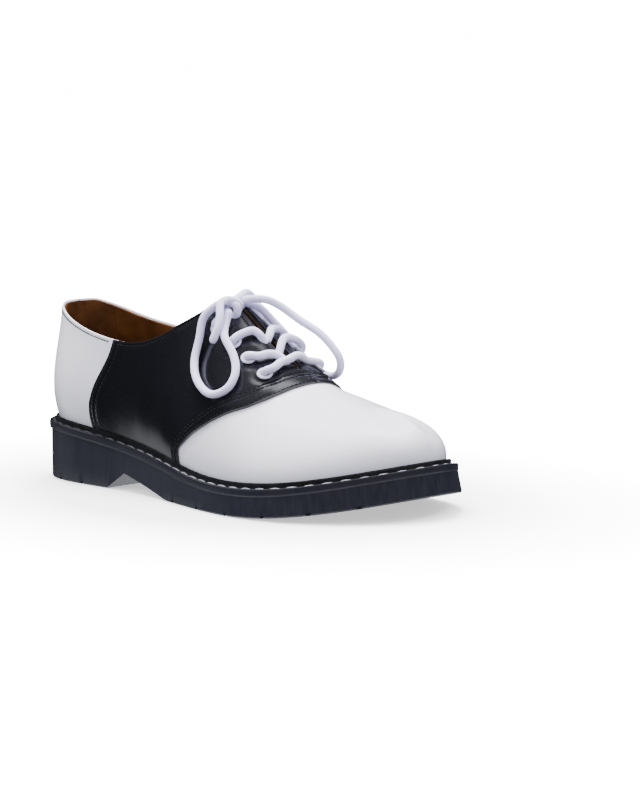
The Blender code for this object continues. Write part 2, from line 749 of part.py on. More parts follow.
def build_shoe():
    for old in list(bpy.data.objects):
        bpy.data.objects.remove(old, do_unlink=True)
    pieces = new_collection("saddle_shoe")
    sole_cutters = new_collection("sole_cutters")
    hole_cutters = new_collection("hole_cutters")
    edge_cutters = new_collection("edge_cutters")

    white_leather = material("white_leather", (0.86, 0.86, 0.88), 0.25)
    black_leather = material("black_leather", (0.012, 0.012, 0.014), 0.3)
    tan_leather = material("tan_leather", (0.30, 0.15, 0.06), 0.6)
    black_welt = material("black_welt", (0.010, 0.010, 0.012), 0.45)
    navy_rubber = material("navy_rubber", (0.016, 0.019, 0.032), 0.42)
    white_enamel = material("white_enamel", (0.82, 0.82, 0.85), 0.3, 0.2)
    white_cord = material("white_cord", (0.76, 0.75, 0.84), 0.8)

    turns = rib_turns()
    build_hole_cutters(hole_cutters)
    build_outsole(pieces, sole_cutters, navy_rubber, turns)
    build_welt(pieces, black_welt, turns)
    build_insole(pieces, tan_leather, turns)
    build_upper(pieces, hole_cutters, white_leather, turns)
    build_saddle(pieces, hole_cutters, edge_cutters, black_leather, turns)
    build_tongue(pieces, black_leather)
    build_eyelets(pieces, white_enamel)
    build_crossings(pieces, white_cord)
    build_bow(pieces, white_cord)

    last = bpy.data.objects.new("last_origin", None)
    last.location = (-MIDDLE[0], -MIDDLE[1], 0)
    pieces.objects.link(last)
    for collection in (pieces, sole_cutters, hole_cutters, edge_cutters):
        for piece in collection.objects:
            if piece is not last:
                piece.parent = last


build_shoe()
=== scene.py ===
# Looks of the saddle shoe: leather panels, lining, welt, sole, stitches, eyelets and lace.
# Lengths are metres. Shapes are worked out in the last's frame, whose x starts at the back of the welt,
# and every piece is moved by lastMiddle into the row frame.

import math

import bmesh
import bpy
import numpy as np
from mathutils import Matrix, Vector


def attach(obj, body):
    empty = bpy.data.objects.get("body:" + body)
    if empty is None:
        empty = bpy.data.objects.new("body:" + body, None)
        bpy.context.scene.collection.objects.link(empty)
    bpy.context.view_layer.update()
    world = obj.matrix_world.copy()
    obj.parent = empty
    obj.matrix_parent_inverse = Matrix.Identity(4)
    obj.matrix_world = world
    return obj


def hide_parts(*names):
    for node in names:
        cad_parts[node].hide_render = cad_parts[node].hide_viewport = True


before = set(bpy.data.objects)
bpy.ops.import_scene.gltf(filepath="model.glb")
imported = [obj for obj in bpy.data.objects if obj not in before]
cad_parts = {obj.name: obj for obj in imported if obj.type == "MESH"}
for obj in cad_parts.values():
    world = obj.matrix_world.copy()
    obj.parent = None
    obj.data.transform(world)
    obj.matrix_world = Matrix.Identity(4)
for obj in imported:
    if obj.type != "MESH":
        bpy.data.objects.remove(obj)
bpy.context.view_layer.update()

lastMiddle = np.array([0.15065, -0.00085, 0.0])
shoeLength = 0.300
ballWidth = 0.112
featherInset = 0.0066
weltThick = 0.0042
throatTurn = 0.69
nudge = 1e-3
mergeDistance = 2e-5

# The welt's outline: turn, lateral x and y, medial x and y, as shares of shoeLength and ballWidth.
outlineRows = (
    (0.00, 0.000, 0.000, 0.000, 0.000),
    (0.08, 0.030, -0.213, 0.030, 0.213),
    (0.17, 0.107, -0.324, 0.107, 0.324),
    (0.31, 0.267, -0.343, 0.267, 0.315),
    (0.45, 0.427, -0.389, 0.427, 0.306),
    (0.58, 0.573, -0.472, 0.560, 0.370),
    (0.69, 0.693, -0.509, 0.687, 0.454),
    (0.79, 0.807, -0.463, 0.800, 0.491),
    (0.88, 0.900, -0.324, 0.900, 0.426),
    (0.95, 0.967, -0.139, 0.963, 0.296),
    (1.00, 0.998, 0.083, 0.998, 0.083),
)
# x share and height of the welt's upper face, and x share and y share of the centre line.
weltRows = (
    (0.000, 0.0335), (0.133, 0.0318), (0.267, 0.0279), (0.400, 0.0228),
    (0.533, 0.0174), (0.667, 0.0155), (0.833, 0.0191), (1.000, 0.0292),
)
centreRows = ((0.00, 0.000), (0.25, 0.000), (0.48, 0.012), (0.66, 0.036), (0.85, 0.062), (1.00, 0.083))
# Top line: turn, x, half gap, height, and the rib's handles lean, rise, reach and drop.
topRows = (
    (0.00, 0.020, 0.000, 0.1000, 0.0086, 0.022, 0.0045, 0.022),
    (0.08, 0.035, 0.120, 0.0992, 0.0086, 0.022, 0.0050, 0.022),
    (0.17, 0.100, 0.212, 0.0925, 0.0076, 0.020, 0.0050, 0.022),
    (0.31, 0.258, 0.270, 0.0838, 0.0051, 0.018, 0.0050, 0.020),
    (0.38, 0.340, 0.262, 0.0838, 0.0045, 0.018, 0.0060, 0.020),
    (0.45, 0.418, 0.212, 0.0930, 0.0045, 0.020, 0.0090, 0.024),
    (0.49, 0.455, 0.110, 0.1020, 0.0045, 0.021, 0.0130, 0.022),
    (0.52, 0.478, 0.020, 0.1060, 0.0045, 0.022, 0.0160, 0.015),
    (0.58, 0.537, 0.022, 0.0960, 0.0045, 0.024, 0.0190, 0.004),
    (0.64, 0.602, 0.026, 0.0820, 0.0040, 0.026, 0.0220, 0.001),
    (0.67, 0.640, 0.024, 0.0745, 0.0040, 0.025, 0.0230, 0.000),
    (0.69, 0.662, 0.000, 0.0706, 0.0040, 0.024, 0.0240, 0.000),
    (0.79, 0.745, 0.000, 0.0615, 0.0040, 0.020, 0.0270, 0.000),
    (0.88, 0.800, 0.000, 0.0575, 0.0036, 0.018, 0.0290, 0.000),
    (0.95, 0.832, 0.000, 0.0558, 0.0030, 0.017, 0.0300, 0.000),
    (1.00, 0.843, 0.000, 0.0552, 0.0028, 0.017, 0.0300, 0.000),
)
# Level on the rib, then the turns of the saddle's back and front edge.
saddleRows = (
    (0.00, 0.259, 0.503), (0.13, 0.256, 0.501), (0.21, 0.255, 0.526), (0.30, 0.256, 0.572),
    (0.40, 0.261, 0.622), (0.53, 0.270, 0.668), (0.69, 0.286, 0.697), (0.85, 0.303, 0.716),
    (1.00, 0.316, 0.730),
)
# Turn and level of the eyelets, from the throat upwards.
eyeletRows = ((0.660, 0.763), (0.622, 0.764), (0.582, 0.766), (0.533, 0.790))


def cubicCurve(knots, values, ends="natural"):
    knots = np.asarray(knots, float)
    values = np.asarray(values, float).reshape(len(knots), -1)
    steps = np.diff(knots)
    slopes = np.diff(values, axis=0) / steps[:, None]
    matrix = np.zeros((len(knots), len(knots)))
    right = np.zeros_like(values)
    for i in range(1, len(knots) - 1):
        matrix[i, i - 1:i + 2] = steps[i - 1], 2 * (steps[i - 1] + steps[i]), steps[i]
        right[i] = 6 * (slopes[i] - slopes[i - 1])
    if ends == "closed":
        matrix[0, [0, 1, -2]] = 2 * (steps[-1] + steps[0]), steps[0], steps[-1]
        right[0] = 6 * (slopes[0] - slopes[-1])
        matrix[-1, [0, -1]] = 1, -1
    elif ends == "flat":
        matrix[0, :2] = 2 * steps[0], steps[0]
        right[0] = 6 * slopes[0]
        matrix[-1, -2:] = steps[-1], 2 * steps[-1]
        right[-1] = -6 * slopes[-1]
    else:
        matrix[0, 0] = matrix[-1, -1] = 1
    bend = np.linalg.solve(matrix, right)

    def at(where):
        where = np.atleast_1d(np.asarray(where, float))
        if ends == "closed":
            where = knots[0] + np.mod(where - knots[0], knots[-1] - knots[0])
        i = np.clip(np.searchsorted(knots, where, side="right") - 1, 0, len(knots) - 2)
        before = (where - knots[i])[:, None]
        after = (knots[i + 1] - where)[:, None]
        step = steps[i][:, None]
        curved = (bend[i] * after ** 3 + bend[i + 1] * before ** 3) / (6 * step)
        start = (values[i] / step - bend[i] * step / 6) * after
        return curved + start + (values[i + 1] / step - bend[i + 1] * step / 6) * before

    return at


def steadyCurve(knots, values):
    knots = np.asarray(knots, float)
    values = np.asarray(values, float)
    steps = np.diff(knots)
    slopes = np.diff(values) / steps
    tangents = np.zeros(len(knots))
    tangents[0], tangents[-1] = slopes[0], slopes[-1]
    for i in range(1, len(knots) - 1):
        if slopes[i - 1] * slopes[i] > 0:
            tangents[i] = 2 / (1 / slopes[i - 1] + 1 / slopes[i])

    def at(where):
        where = np.atleast_1d(where)
        i = np.clip(np.searchsorted(knots, where, side="right") - 1, 0, len(knots) - 2)
        t = (where - knots[i]) / steps[i]
        start = values[i] * (1 + 2 * t) * (1 - t) ** 2 + tangents[i] * steps[i] * t * (1 - t) ** 2
        return start + values[i + 1] * t * t * (3 - 2 * t) + tangents[i + 1] * steps[i] * t * t * (t - 1)

    return at


outlineTable = np.array(outlineRows)
outlineShares = cubicCurve(
    np.concatenate([outlineTable[:, 0], 2 - outlineTable[-2::-1, 0]]),
    np.concatenate([outlineTable[:, 1:3], outlineTable[-2::-1, 3:5]]),
    "closed",
)
topTable = np.array(topRows)
topX = steadyCurve(topTable[:, 0], topTable[:, 1])
halfGap = steadyCurve(topTable[:, 0], topTable[:, 2])
topHeight = cubicCurve(topTable[:, 0], topTable[:, 3], "flat")
ribHandles = cubicCurve(topTable[:, 0], topTable[:, 4:])
weltCurve = cubicCurve(*zip(*weltRows))
centreCurve = cubicCurve(*zip(*centreRows))
saddleTable = np.array(saddleRows)
saddleBack = steadyCurve(saddleTable[:, 0], saddleTable[:, 1])
saddleFront = steadyCurve(saddleTable[:, 0], saddleTable[:, 2])


def outlineAt(turn, inset):
    size = (shoeLength, ballWidth)
    places = outlineShares(turn) * size
    along = (outlineShares(turn + 1e-4) - outlineShares(turn - 1e-4)) * size
    along /= np.linalg.norm(along, axis=1)[:, None]
    outward = np.column_stack([along[:, 1], -along[:, 0]])
    return places - outward * np.broadcast_to(inset, len(turn))[:, None], outward


def weltHeight(x):
    return weltCurve(np.asarray(x) / shoeLength)[:, 0]


def soleHeight(x):
    springStart, spring = 0.200, 0.0130
    past = np.clip(np.asarray(x) - springStart, 0, None) / (shoeLength - springStart)
    return spring * past ** 2


def foldedTurn(turn):
    turn = np.mod(turn, 2)
    return np.where(turn <= 1, turn, 2 - turn), np.where(turn <= 1, -1.0, 1.0)


def topLine(turn):
    sideTurn, side = foldedTurn(turn)
    x = topX(sideTurn) * shoeLength
    y = centreCurve(x / shoeLength)[:, 0] * ballWidth + side * halfGap(sideTurn) * ballWidth
    return np.column_stack([x, y, topHeight(sideTurn)[:, 0]])


def upperSurface(turn, level):
    turn, level = (a.ravel() for a in np.broadcast_arrays(np.atleast_1d(turn), np.atleast_1d(level)))
    sideTurn = foldedTurn(turn)[0]
    footPlan, outward = outlineAt(turn, featherInset)
    foot = np.column_stack([footPlan, weltHeight(footPlan[:, 0])])
    top = topLine(turn)
    lean, rise, reach, drop = ribHandles(sideTurn).T
    before = np.clip(sideTurn - nudge, 0, 1)
    after = np.clip(sideTurn + nudge, 0, 1)
    slope = (topHeight(after) - topHeight(before))[:, 0] / ((topX(after) - topX(before)) * shoeLength)
    away = foot[:, :2] - top[:, :2]
    away /= np.linalg.norm(away, axis=1)[:, None]
    onRidge = np.clip((sideTurn - 0.55) / 0.10, 0, 1)
    first = foot + np.column_stack([outward * lean[:, None], rise])
    second = top + np.column_stack([away * reach[:, None], onRidge * slope * away[:, 0] * reach - drop])
    s = level[:, None]
    lower = foot * (1 - s) ** 3 + 3 * first * s * (1 - s) ** 2
    return lower + 3 * second * s * s * (1 - s) + top * s ** 3


def upperNormal(turn, level):
    turn, level = (a.ravel() for a in np.broadcast_arrays(np.atleast_1d(turn), np.atleast_1d(level)))
    roundShoe = upperSurface(turn + nudge, level) - upperSurface(turn - nudge, level)
    endsMeet = (foldedTurn(turn)[0] >= throatTurn) & (level > 0.999)
    ridge = topLine(np.clip(foldedTurn(turn)[0] + nudge, 0, 1)) - topLine(foldedTurn(turn)[0] - nudge)
    roundShoe = np.where(endsMeet[:, None], ridge * -foldedTurn(turn)[1][:, None], roundShoe)
    upwards = upperSurface(turn, np.minimum(level + nudge, 1)) - upperSurface(turn, level - nudge)
    normal = np.cross(roundShoe, upwards)
    return normal / np.linalg.norm(normal, axis=1)[:, None]


def overUpper(turn, level, lift):
    return upperSurface(turn, level) + upperNormal(turn, level) * np.ravel(lift)[:, None]


# A curve over the upper, moved along the surface: upwards for rising turns, or heelwards on the lateral
# side for rising levels.
def besideCurve(turns, levels, distance, steps=4):
    turns, levels = np.array(turns, float), np.array(levels, float)
    for _ in range(steps):
        along = np.gradient(upperSurface(turns, levels), axis=0)
        along /= np.linalg.norm(along, axis=1)[:, None]
        step = np.broadcast_to(distance, len(turns))[:, None] / steps
        across = np.cross(upperNormal(turns, levels), along) * step
        byTurn = (upperSurface(turns + nudge, levels) - upperSurface(turns - nudge, levels)) / (2 * nudge)
        byLevel = (upperSurface(turns, levels + nudge) - upperSurface(turns, levels - nudge)) / (2 * nudge)
        tt, tl, ll = (byTurn ** 2).sum(1), (byTurn * byLevel).sum(1), (byLevel ** 2).sum(1)
        ta, la = (byTurn * across).sum(1), (byLevel * across).sum(1)
        area = tt * ll - tl * tl
        turns += (ta * ll - la * tl) / area
        levels += (la * tt - ta * tl) / area
    return turns, levels


def nearestDistance(points, path):
    found = np.empty(len(points))
    for start in range(0, len(points), 4000):
        part = points[start:start + 4000]
        found[start:start + 4000] = np.linalg.norm(part[:, None] - path[None], axis=2).min(axis=1)
    return found


print("stage: form ready")


def meshPiece(name, points, faces, finish):
    mesh = bpy.data.meshes.new(name)
    mesh.from_pydata([tuple(p) for p in np.asarray(points) - lastMiddle], [], faces)
    mesh.materials.append(finish)
    mesh.shade_smooth()
    piece = bpy.data.objects.new(name, mesh)
    bpy.context.scene.collection.objects.link(piece)
    return piece


def gridFaces(columns, rows, closed=False):
    last = columns if closed else columns - 1
    return [
        (i * rows + j, (i + 1) % columns * rows + j, (i + 1) % columns * rows + j + 1, i * rows + j + 1)
        for i in range(last)
        for j in range(rows - 1)
    ]


def settled(piece, sharp=math.radians(60)):
    bpy.context.view_layer.update()
    graph = bpy.context.evaluated_depsgraph_get()
    mesh = bpy.data.meshes.new_from_object(piece.evaluated_get(graph))
    piece.modifiers.clear()
    piece.data = mesh
    mesh.name = piece.name
    mesh.shade_smooth()
    mesh.set_sharp_from_angle(angle=sharp)
    return piece


def facingOut(piece):
    shape = bmesh.new()
    shape.from_mesh(piece.data)
    bmesh.ops.recalc_face_normals(shape, faces=shape.faces)
    shape.to_mesh(piece.data)
    shape.free()
    return piece


def dress(piece, slotName, *nodes):
    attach(piece, "root")
    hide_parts(*nodes)
    return piece


def pointValue(piece, name, values):
    attribute = piece.data.attributes.new(name, "FLOAT", "POINT")
    attribute.data.foreach_set("value", np.asarray(values, np.float32))


def addWeld(piece, distance=mergeDistance):
    piece.modifiers.new("joined", "WELD").merge_threshold = distance


# A wall inwards from a sheet, with rounded edges where faces meet at more than an angle in degrees.
def addWall(piece, thick, edgeRound, angle, segments=3, even=True):
    wall = piece.modifiers.new("wall", "SOLIDIFY")
    wall.thickness = thick
    wall.offset = -1
    wall.use_quality_normals = even
    if edgeRound:
        rounding = piece.modifiers.new("rounding", "BEVEL")
        rounding.limit_method = "ANGLE"
        rounding.angle_limit = math.radians(angle)
        rounding.width = edgeRound
        rounding.segments = segments


# The leather's painted shade, darker low down on a panel, fades out over the low band's levels.
panel = {"paintedShadeBand": 0.16, "wearWidth": 0.003, "edgeRound": 0.0004, "roundedAngle": 55, "calmSteps": 40}


# How worn each point is: 1 on the border and 0 from a distance on.
def wornNear(points, border, width):
    return np.clip(1 - nearestDistance(points, border) / width, 0, 1)


# A leather panel over the upper from grids of turns and levels [column][row]. Calm is a middle and a
# radius where the sheet is smoothed.
def leatherPanel(
    name, turns, levels, lifts, thick, finish,
    edgeRound=panel["edgeRound"], wearWidth=panel["wearWidth"], calm=None,
):
    columns, rows = turns.shape
    points = overUpper(turns.ravel(), levels.ravel(), lifts)
    piece = meshPiece(name, points, gridFaces(columns, rows), finish)
    grid = points.reshape(columns, rows, 3)
    border = np.concatenate([grid[0], grid[-1], grid[:, 0], grid[:, -1]])
    pointValue(piece, "worn", wornNear(points, border, wearWidth))
    # The low share sets painted shade: 1 at the panel's foot, falling to 0 at the top of the band.
    pointValue(piece, "low", np.clip(1 - levels.ravel() / panel["paintedShadeBand"], 0, 1))
    addWeld(piece)
    if calm is not None:
        middle, radius = calm
        share = np.exp(-(np.linalg.norm(points - middle, axis=1) / radius) ** 2)
        group = piece.vertex_groups.new(name="calm")
        for i in np.flatnonzero(share > 0.02):
            group.add([int(i)], float(share[i]), "REPLACE")
        smoothing = piece.modifiers.new("calm", "SMOOTH")
        smoothing.vertex_group = "calm"
        smoothing.iterations = panel["calmSteps"]
    addWall(piece, thick, edgeRound, panel["roundedAngle"])
    return settled(piece)


def addNode(tree, kind, values=None, **settings):
    made = tree.nodes.new(kind)
    for key, value in settings.items():
        setattr(made, key, value)
    for key, value in (values or {}).items():
        if isinstance(value, bpy.types.NodeSocket):
            tree.links.new(value, made.inputs[key])
        else:
            made.inputs[key].default_value = value
    return made


def newTree(name, kind, inputs, outputs):
    tree = bpy.data.node_groups.new(name, kind)
    for label, socketType, value in inputs:
        made = tree.interface.new_socket(label, in_out="INPUT", socket_type=socketType)
        if value is not None:
            made.default_value = value
    for label, socketType in outputs:
        tree.interface.new_socket(label, in_out="OUTPUT", socket_type=socketType)
    return tree, tree.nodes.new("NodeGroupInput").outputs, tree.nodes.new("NodeGroupOutput").inputs


def nodeOutput(tree, kind, values=None, **settings):
    return addNode(tree, kind, values, **settings).outputs[0]


def mixColour(tree, factor, first, second):
    return addNode(tree, "ShaderNodeMix", {0: factor, 6: first, 7: second}, data_type="RGBA").outputs[2]


def mathNode(tree, operation, *values):
    return nodeOutput(tree, "ShaderNodeMath", dict(enumerate(values)), operation=operation)


def splitNode(tree, vector):
    return addNode(tree, "ShaderNodeSeparateXYZ", {0: vector}).outputs


def objectPlace(tree):
    return tree.nodes.new("ShaderNodeTexCoord").outputs["Object"]


def noiseNode(tree, place, scale, detail, roughness=0.5):
    values = {"Vector": place, "Scale": scale, "Detail": detail, "Roughness": roughness}
    return addNode(tree, "ShaderNodeTexNoise", values).outputs["Fac"]


def bumpNode(tree, strength, distance, height, under=None):
    values = {"Strength": strength, "Distance": distance, "Height": height}
    if under is not None:
        values["Normal"] = under
    return nodeOutput(tree, "ShaderNodeBump", values)


def attributeNode(tree, name):
    return addNode(tree, "ShaderNodeAttribute", attribute_name=name).outputs["Fac"]


def rangeNode(tree, value, low, high, toLow=0.0, toHigh=1.0):
    values = {"Value": value, "From Min": low, "From Max": high, "To Min": toLow, "To Max": toHigh}
    return addNode(tree, "ShaderNodeMapRange", values, clamp=True).outputs["Result"]


# Leather: fine cells, soft swells under the skin, worn edges, handling marks, a grey patch in streaks, and
# painted shade low down on a panel.
def makeLeatherGroup():
    tree, given, result = newTree(
        "leatherSkin",
        "ShaderNodeTree",
        (
            ("Colour", "NodeSocketColor", (0.8, 0.8, 0.8, 1)),
            ("Worn colour", "NodeSocketColor", (0.5, 0.5, 0.5, 1)),
            ("Painted shade and handling colour", "NodeSocketColor", (0.5, 0.5, 0.5, 1)),
            ("Grey patch colour", "NodeSocketColor", (0.30, 0.30, 0.35, 1)),
            ("Cell size", "NodeSocketFloat", 0.0007),
            ("Grain", "NodeSocketFloat", 0.2),
            ("Swell", "NodeSocketFloat", 0.2),
            ("Roughness", "NodeSocketFloat", 0.3),
            ("Handling", "NodeSocketFloat", 0.1),
        ),
        (("Colour", "NodeSocketColor"), ("Roughness", "NodeSocketFloat"), ("Normal", "NodeSocketVector")),
    )
    place = objectPlace(tree)
    cellScale = mathNode(tree, "DIVIDE", 1.0, given["Cell size"])
    cells = addNode(
        tree, "ShaderNodeTexVoronoi", {"Vector": place, "Scale": cellScale}, feature="SMOOTH_F1"
    )
    pores = noiseNode(tree, place, 2600.0, 3.0)
    swell = noiseNode(tree, place, 55.0, 2.0)
    marks = noiseNode(tree, place, 30.0, 5.0, 0.62)
    grain = mathNode(tree, "MULTIPLY_ADD", pores, 0.5, cells.outputs["Distance"])
    grainBump = bumpNode(tree, given["Grain"], 0.00018, grain)
    tree.links.new(bumpNode(tree, given["Swell"], 0.0012, swell, grainBump), result["Normal"])
    patches = rangeNode(tree, marks, 0.35, 0.6, 0.35, 1.0)
    edge = mathNode(tree, "MULTIPLY", attributeNode(tree, "worn"), patches)
    # Painted shade: the low part of a panel is mixed towards the darker shade colour, which handling marks
    # share.
    low = mathNode(tree, "MULTIPLY", attributeNode(tree, "low"), 0.75)
    handled = mathNode(tree, "MULTIPLY", rangeNode(tree, marks, 0.40, 0.68), given["Handling"])
    # A grey patch in streaks, where a panel has a share for it.
    streaks = rangeNode(tree, marks, 0.42, 0.60, 0.15, 0.75)
    greyPatch = mathNode(tree, "MULTIPLY", attributeNode(tree, "greyPatch"), streaks)
    colour = mixColour(tree, low, given["Colour"], given["Painted shade and handling colour"])
    colour = mixColour(tree, edge, colour, given["Worn colour"])
    colour = mixColour(tree, handled, colour, given["Painted shade and handling colour"])
    colour = mixColour(tree, greyPatch, colour, given["Grey patch colour"])
    tree.links.new(colour, result["Colour"])
    rough = mathNode(tree, "MULTIPLY_ADD", handled, 0.8, given["Roughness"])
    tree.links.new(mathNode(tree, "MULTIPLY_ADD", edge, 0.10, rough), result["Roughness"])
    return tree


# Braided cord: two families of diagonal strands from the UV, which runs along and round the lace, with
# painted shade in the gaps between strands.
def makeBraidGroup():
    tree, given, result = newTree(
        "roundBraid",
        "ShaderNodeTree",
        (
            ("Colour", "NodeSocketColor", (0.8, 0.8, 0.8, 1)),
            ("Painted gap shade", "NodeSocketColor", (0.4, 0.4, 0.5, 1)),
            ("Depth", "NodeSocketFloat", 0.5),
        ),
        (("Colour", "NodeSocketColor"), ("Normal", "NodeSocketVector")),
    )
    strandsRound, strandsAlong = 8.0, 620.0
    place = nodeOutput(tree, "ShaderNodeUVMap", uv_map="along")
    parts = splitNode(tree, place)
    along = mathNode(tree, "MULTIPLY", parts[0], strandsAlong)
    around = mathNode(tree, "MULTIPLY", parts[1], strandsRound)
    waves = []
    for operation in ("ADD", "SUBTRACT"):
        diagonal = mathNode(tree, operation, along, around)
        turned = mathNode(tree, "MULTIPLY", diagonal, 2 * math.pi)
        waves.append(mathNode(tree, "SINE", turned))
    crossed = mathNode(tree, "MAXIMUM", *waves)
    height = rangeNode(tree, crossed, -0.6, 1.0)
    height = mathNode(tree, "MULTIPLY_ADD", noiseNode(tree, place, 2400.0, 2.0), 0.25, height)
    # Painted shade: the gaps between the strands are darker than the strands.
    shade = rangeNode(tree, crossed, -0.5, 0.5)
    tree.links.new(mixColour(tree, shade, given["Painted gap shade"], given["Colour"]), result["Colour"])
    tree.links.new(bumpNode(tree, given["Depth"], 0.00030, height), result["Normal"])
    return tree


leatherSkin = makeLeatherGroup()
roundBraid = makeBraidGroup()


def newFinish(name):
    finish = bpy.data.materials.new(name)
    finish.use_nodes = True
    return finish, finish.node_tree, finish.node_tree.nodes["Principled BSDF"].inputs


# A finish from a shared group: its own settings, then the shader's fixed sockets.
def groupFinish(name, group, values, sockets):
    finish, tree, shader = newFinish(name)
    skin = addNode(tree, "ShaderNodeGroup", values, node_tree=group)
    for made, used in (("Colour", "Base Color"), ("Roughness", "Roughness"), ("Normal", "Normal")):
        if made in skin.outputs:
            tree.links.new(skin.outputs[made], shader[used])
    for key, value in sockets.items():
        shader[key].default_value = value
    return finish


# Plain finishes with one noise for colour and one for relief, stretched where the material has a direction.
def grainedFinish(name, first, second, roughness, scale, stretch, relief, sockets=None):
    finish, tree, shader = newFinish(name)
    placed = nodeOutput(tree, "ShaderNodeMapping", {"Vector": objectPlace(tree), "Scale": stretch})
    broad = noiseNode(tree, placed, scale, 4.0)
    fine = noiseNode(tree, placed, scale * 9, 3.0)
    share = rangeNode(tree, broad, 0.35, 0.65)
    tree.links.new(mixColour(tree, share, (*first, 1), (*second, 1)), shader["Base Color"])
    rough = rangeNode(tree, broad, 0.3, 0.7, roughness - 0.05, roughness + 0.08)
    tree.links.new(rough, shader["Roughness"])
    tree.links.new(bumpNode(tree, relief, 0.0002, fine), shader["Normal"])
    for key, value in (sockets or {}).items():
        shader[key].default_value = value
    return finish


# Mixes another colour over a finish's own, by a share from its tree.
def tinted(finish, share, colour):
    tree = finish.node_tree
    baseColour = tree.nodes["Principled BSDF"].inputs["Base Color"]
    tree.links.new(mixColour(tree, share, baseColour.links[0].from_socket, colour), baseColour)


# White leather, with a painted shade colour for the low part of its panels and for its handling marks.
whiteLeather = groupFinish(
    "whiteLeather",
    leatherSkin,
    {
        "Colour": (0.80, 0.79, 0.84, 1),
        "Worn colour": (0.66, 0.65, 0.69, 1),
        "Painted shade and handling colour": (0.56, 0.55, 0.62, 1),
        "Cell size": 0.0009,
        "Grain": 0.10,
        "Swell": 0.10,
        "Roughness": 0.20,
        "Handling": 0.14,
    },
    {"Coat Weight": 0.35, "Coat Roughness": 0.10, "Specular IOR Level": 0.5},
)
blackLeather = groupFinish(
    "blackLeather",
    leatherSkin,
    {
        "Colour": (0.0042, 0.0045, 0.0062, 1),
        "Worn colour": (0.010, 0.010, 0.013, 1),
        "Painted shade and handling colour": (0.008, 0.008, 0.010, 1),
        "Cell size": 0.0009,
        "Grain": 0.06,
        "Swell": 0.22,
        "Roughness": 0.21,
        "Handling": 0.05,
    },
    {"Coat Weight": 0.30, "Coat Roughness": 0.12, "Specular IOR Level": 0.55},
)
# How a finish's noise lies: evenly, or in upright streaks.
evenly = (1, 1, 1)
upStreaks = (2.4, 2.4, 0.06)
liningLeather = grainedFinish(
    "liningLeather", (0.050, 0.015, 0.002), (0.100, 0.036, 0.007), 0.70, 60.0, evenly, 0.35,
    {"Specular IOR Level": 0.2},
)
rawEdgeLeather = grainedFinish(
    "rawEdgeLeather", (0.055, 0.045, 0.028), (0.13, 0.11, 0.07), 0.8, 700.0, evenly, 0.8
)
weltRubber = grainedFinish(
    "weltRubber", (0.0035, 0.0035, 0.0045), (0.007, 0.007, 0.009), 0.38, 120.0, evenly, 0.25
)
# The welt's outer edge has the sole's colour.
tinted(weltRubber, attributeNode(weltRubber.node_tree, "low"), (0.014, 0.014, 0.023, 1))
soleRubber = grainedFinish(
    "soleRubber", (0.0120, 0.0120, 0.0205), (0.0180, 0.0185, 0.0290), 0.42, 260.0, upStreaks, 0.20
)
eyeletEnamel = grainedFinish(
    "eyeletEnamel", (0.62, 0.62, 0.72), (0.54, 0.54, 0.64), 0.24, 300.0, evenly, 0.10, {"Coat Weight": 0.5}
)
blackThread = grainedFinish(
    "blackThread", (0.004, 0.004, 0.005), (0.010, 0.010, 0.012), 0.5, 1500.0, evenly, 0.8
)
weltThread = grainedFinish(
    "weltThread", (0.02, 0.02, 0.023), (0.05, 0.05, 0.056), 0.7, 1400.0, evenly, 0.9
)
# The welt's thread is painted lighter towards the toe, a painted highlight.
threadTree = weltThread.node_tree
alongShoe = splitNode(threadTree, objectPlace(threadTree))[0]
tinted(weltThread, rangeNode(threadTree, alongShoe, -0.09, 0.10), (0.34, 0.34, 0.38, 1))
laceBraid = groupFinish(
    "laceBraid",
    roundBraid,
    {"Colour": (0.76, 0.73, 0.97, 1), "Painted gap shade": (0.40, 0.38, 0.56, 1), "Depth": 0.55},
    {"Roughness": 0.8, "Sheen Weight": 0.3},
)


# Angles in degrees; the target is in the last's frame, and the shift is along the picture's sides.
view = {
    "azimuth": 48.44,
    "elevation": 7.42,
    "roll": -1.33,
    "distance": 1.9286,
    "target": (0.150, 0, 0.045),
    "shift": (0.04467, 0.00710),
    "focalPixels": 3483,
    "pictureWidth": 640,
    "sensorWidth": 36,
}


def placeCamera():
    azimuth, elevation, roll = (math.radians(view[k]) for k in ("azimuth", "elevation", "roll"))
    out = math.cos(elevation)
    back = Vector((math.sin(azimuth) * out, -math.cos(azimuth) * out, math.sin(elevation)))
    level = Vector((math.cos(azimuth), math.sin(azimuth), 0))
    over = back.cross(level)
    right = math.cos(roll) * level + math.sin(roll) * over
    up = math.cos(roll) * over - math.sin(roll) * level
    data = bpy.data.cameras.new("photoCamera")
    data.sensor_width = view["sensorWidth"]
    data.lens = view["focalPixels"] / view["pictureWidth"] * data.sensor_width
    data.sensor_fit = "HORIZONTAL"
    camera = bpy.data.objects.new("photoCamera", data)
    bpy.context.scene.collection.objects.link(camera)
    place = Vector(view["target"]) + view["shift"][0] * right + view["shift"][1] * up
    place += view["distance"] * back - Vector(lastMiddle)
    turned = Matrix((right, up, back)).transposed().to_4x4()
    camera.matrix_world = Matrix.Translation(place) @ turned
    bpy.context.scene.camera = camera
    return right, back


def areaLight(name, place, aim, size, power):
    data = bpy.data.lights.new(name, "AREA")
    data.shape = "RECTANGLE"
    data.size, data.size_y = size
    data.energy = power
    light = bpy.data.objects.new(name, data)
    light.location = place
    light.rotation_euler = (Vector(aim) - Vector(place)).to_track_quat("-Z", "Y").to_euler()
    light.visible_glossy = False
    bpy.context.scene.collection.objects.link(light)
    return light


def skyLight(tree, colour, strength):
    return nodeOutput(tree, "ShaderNodeBackground", {"Color": colour, "Strength": strength})


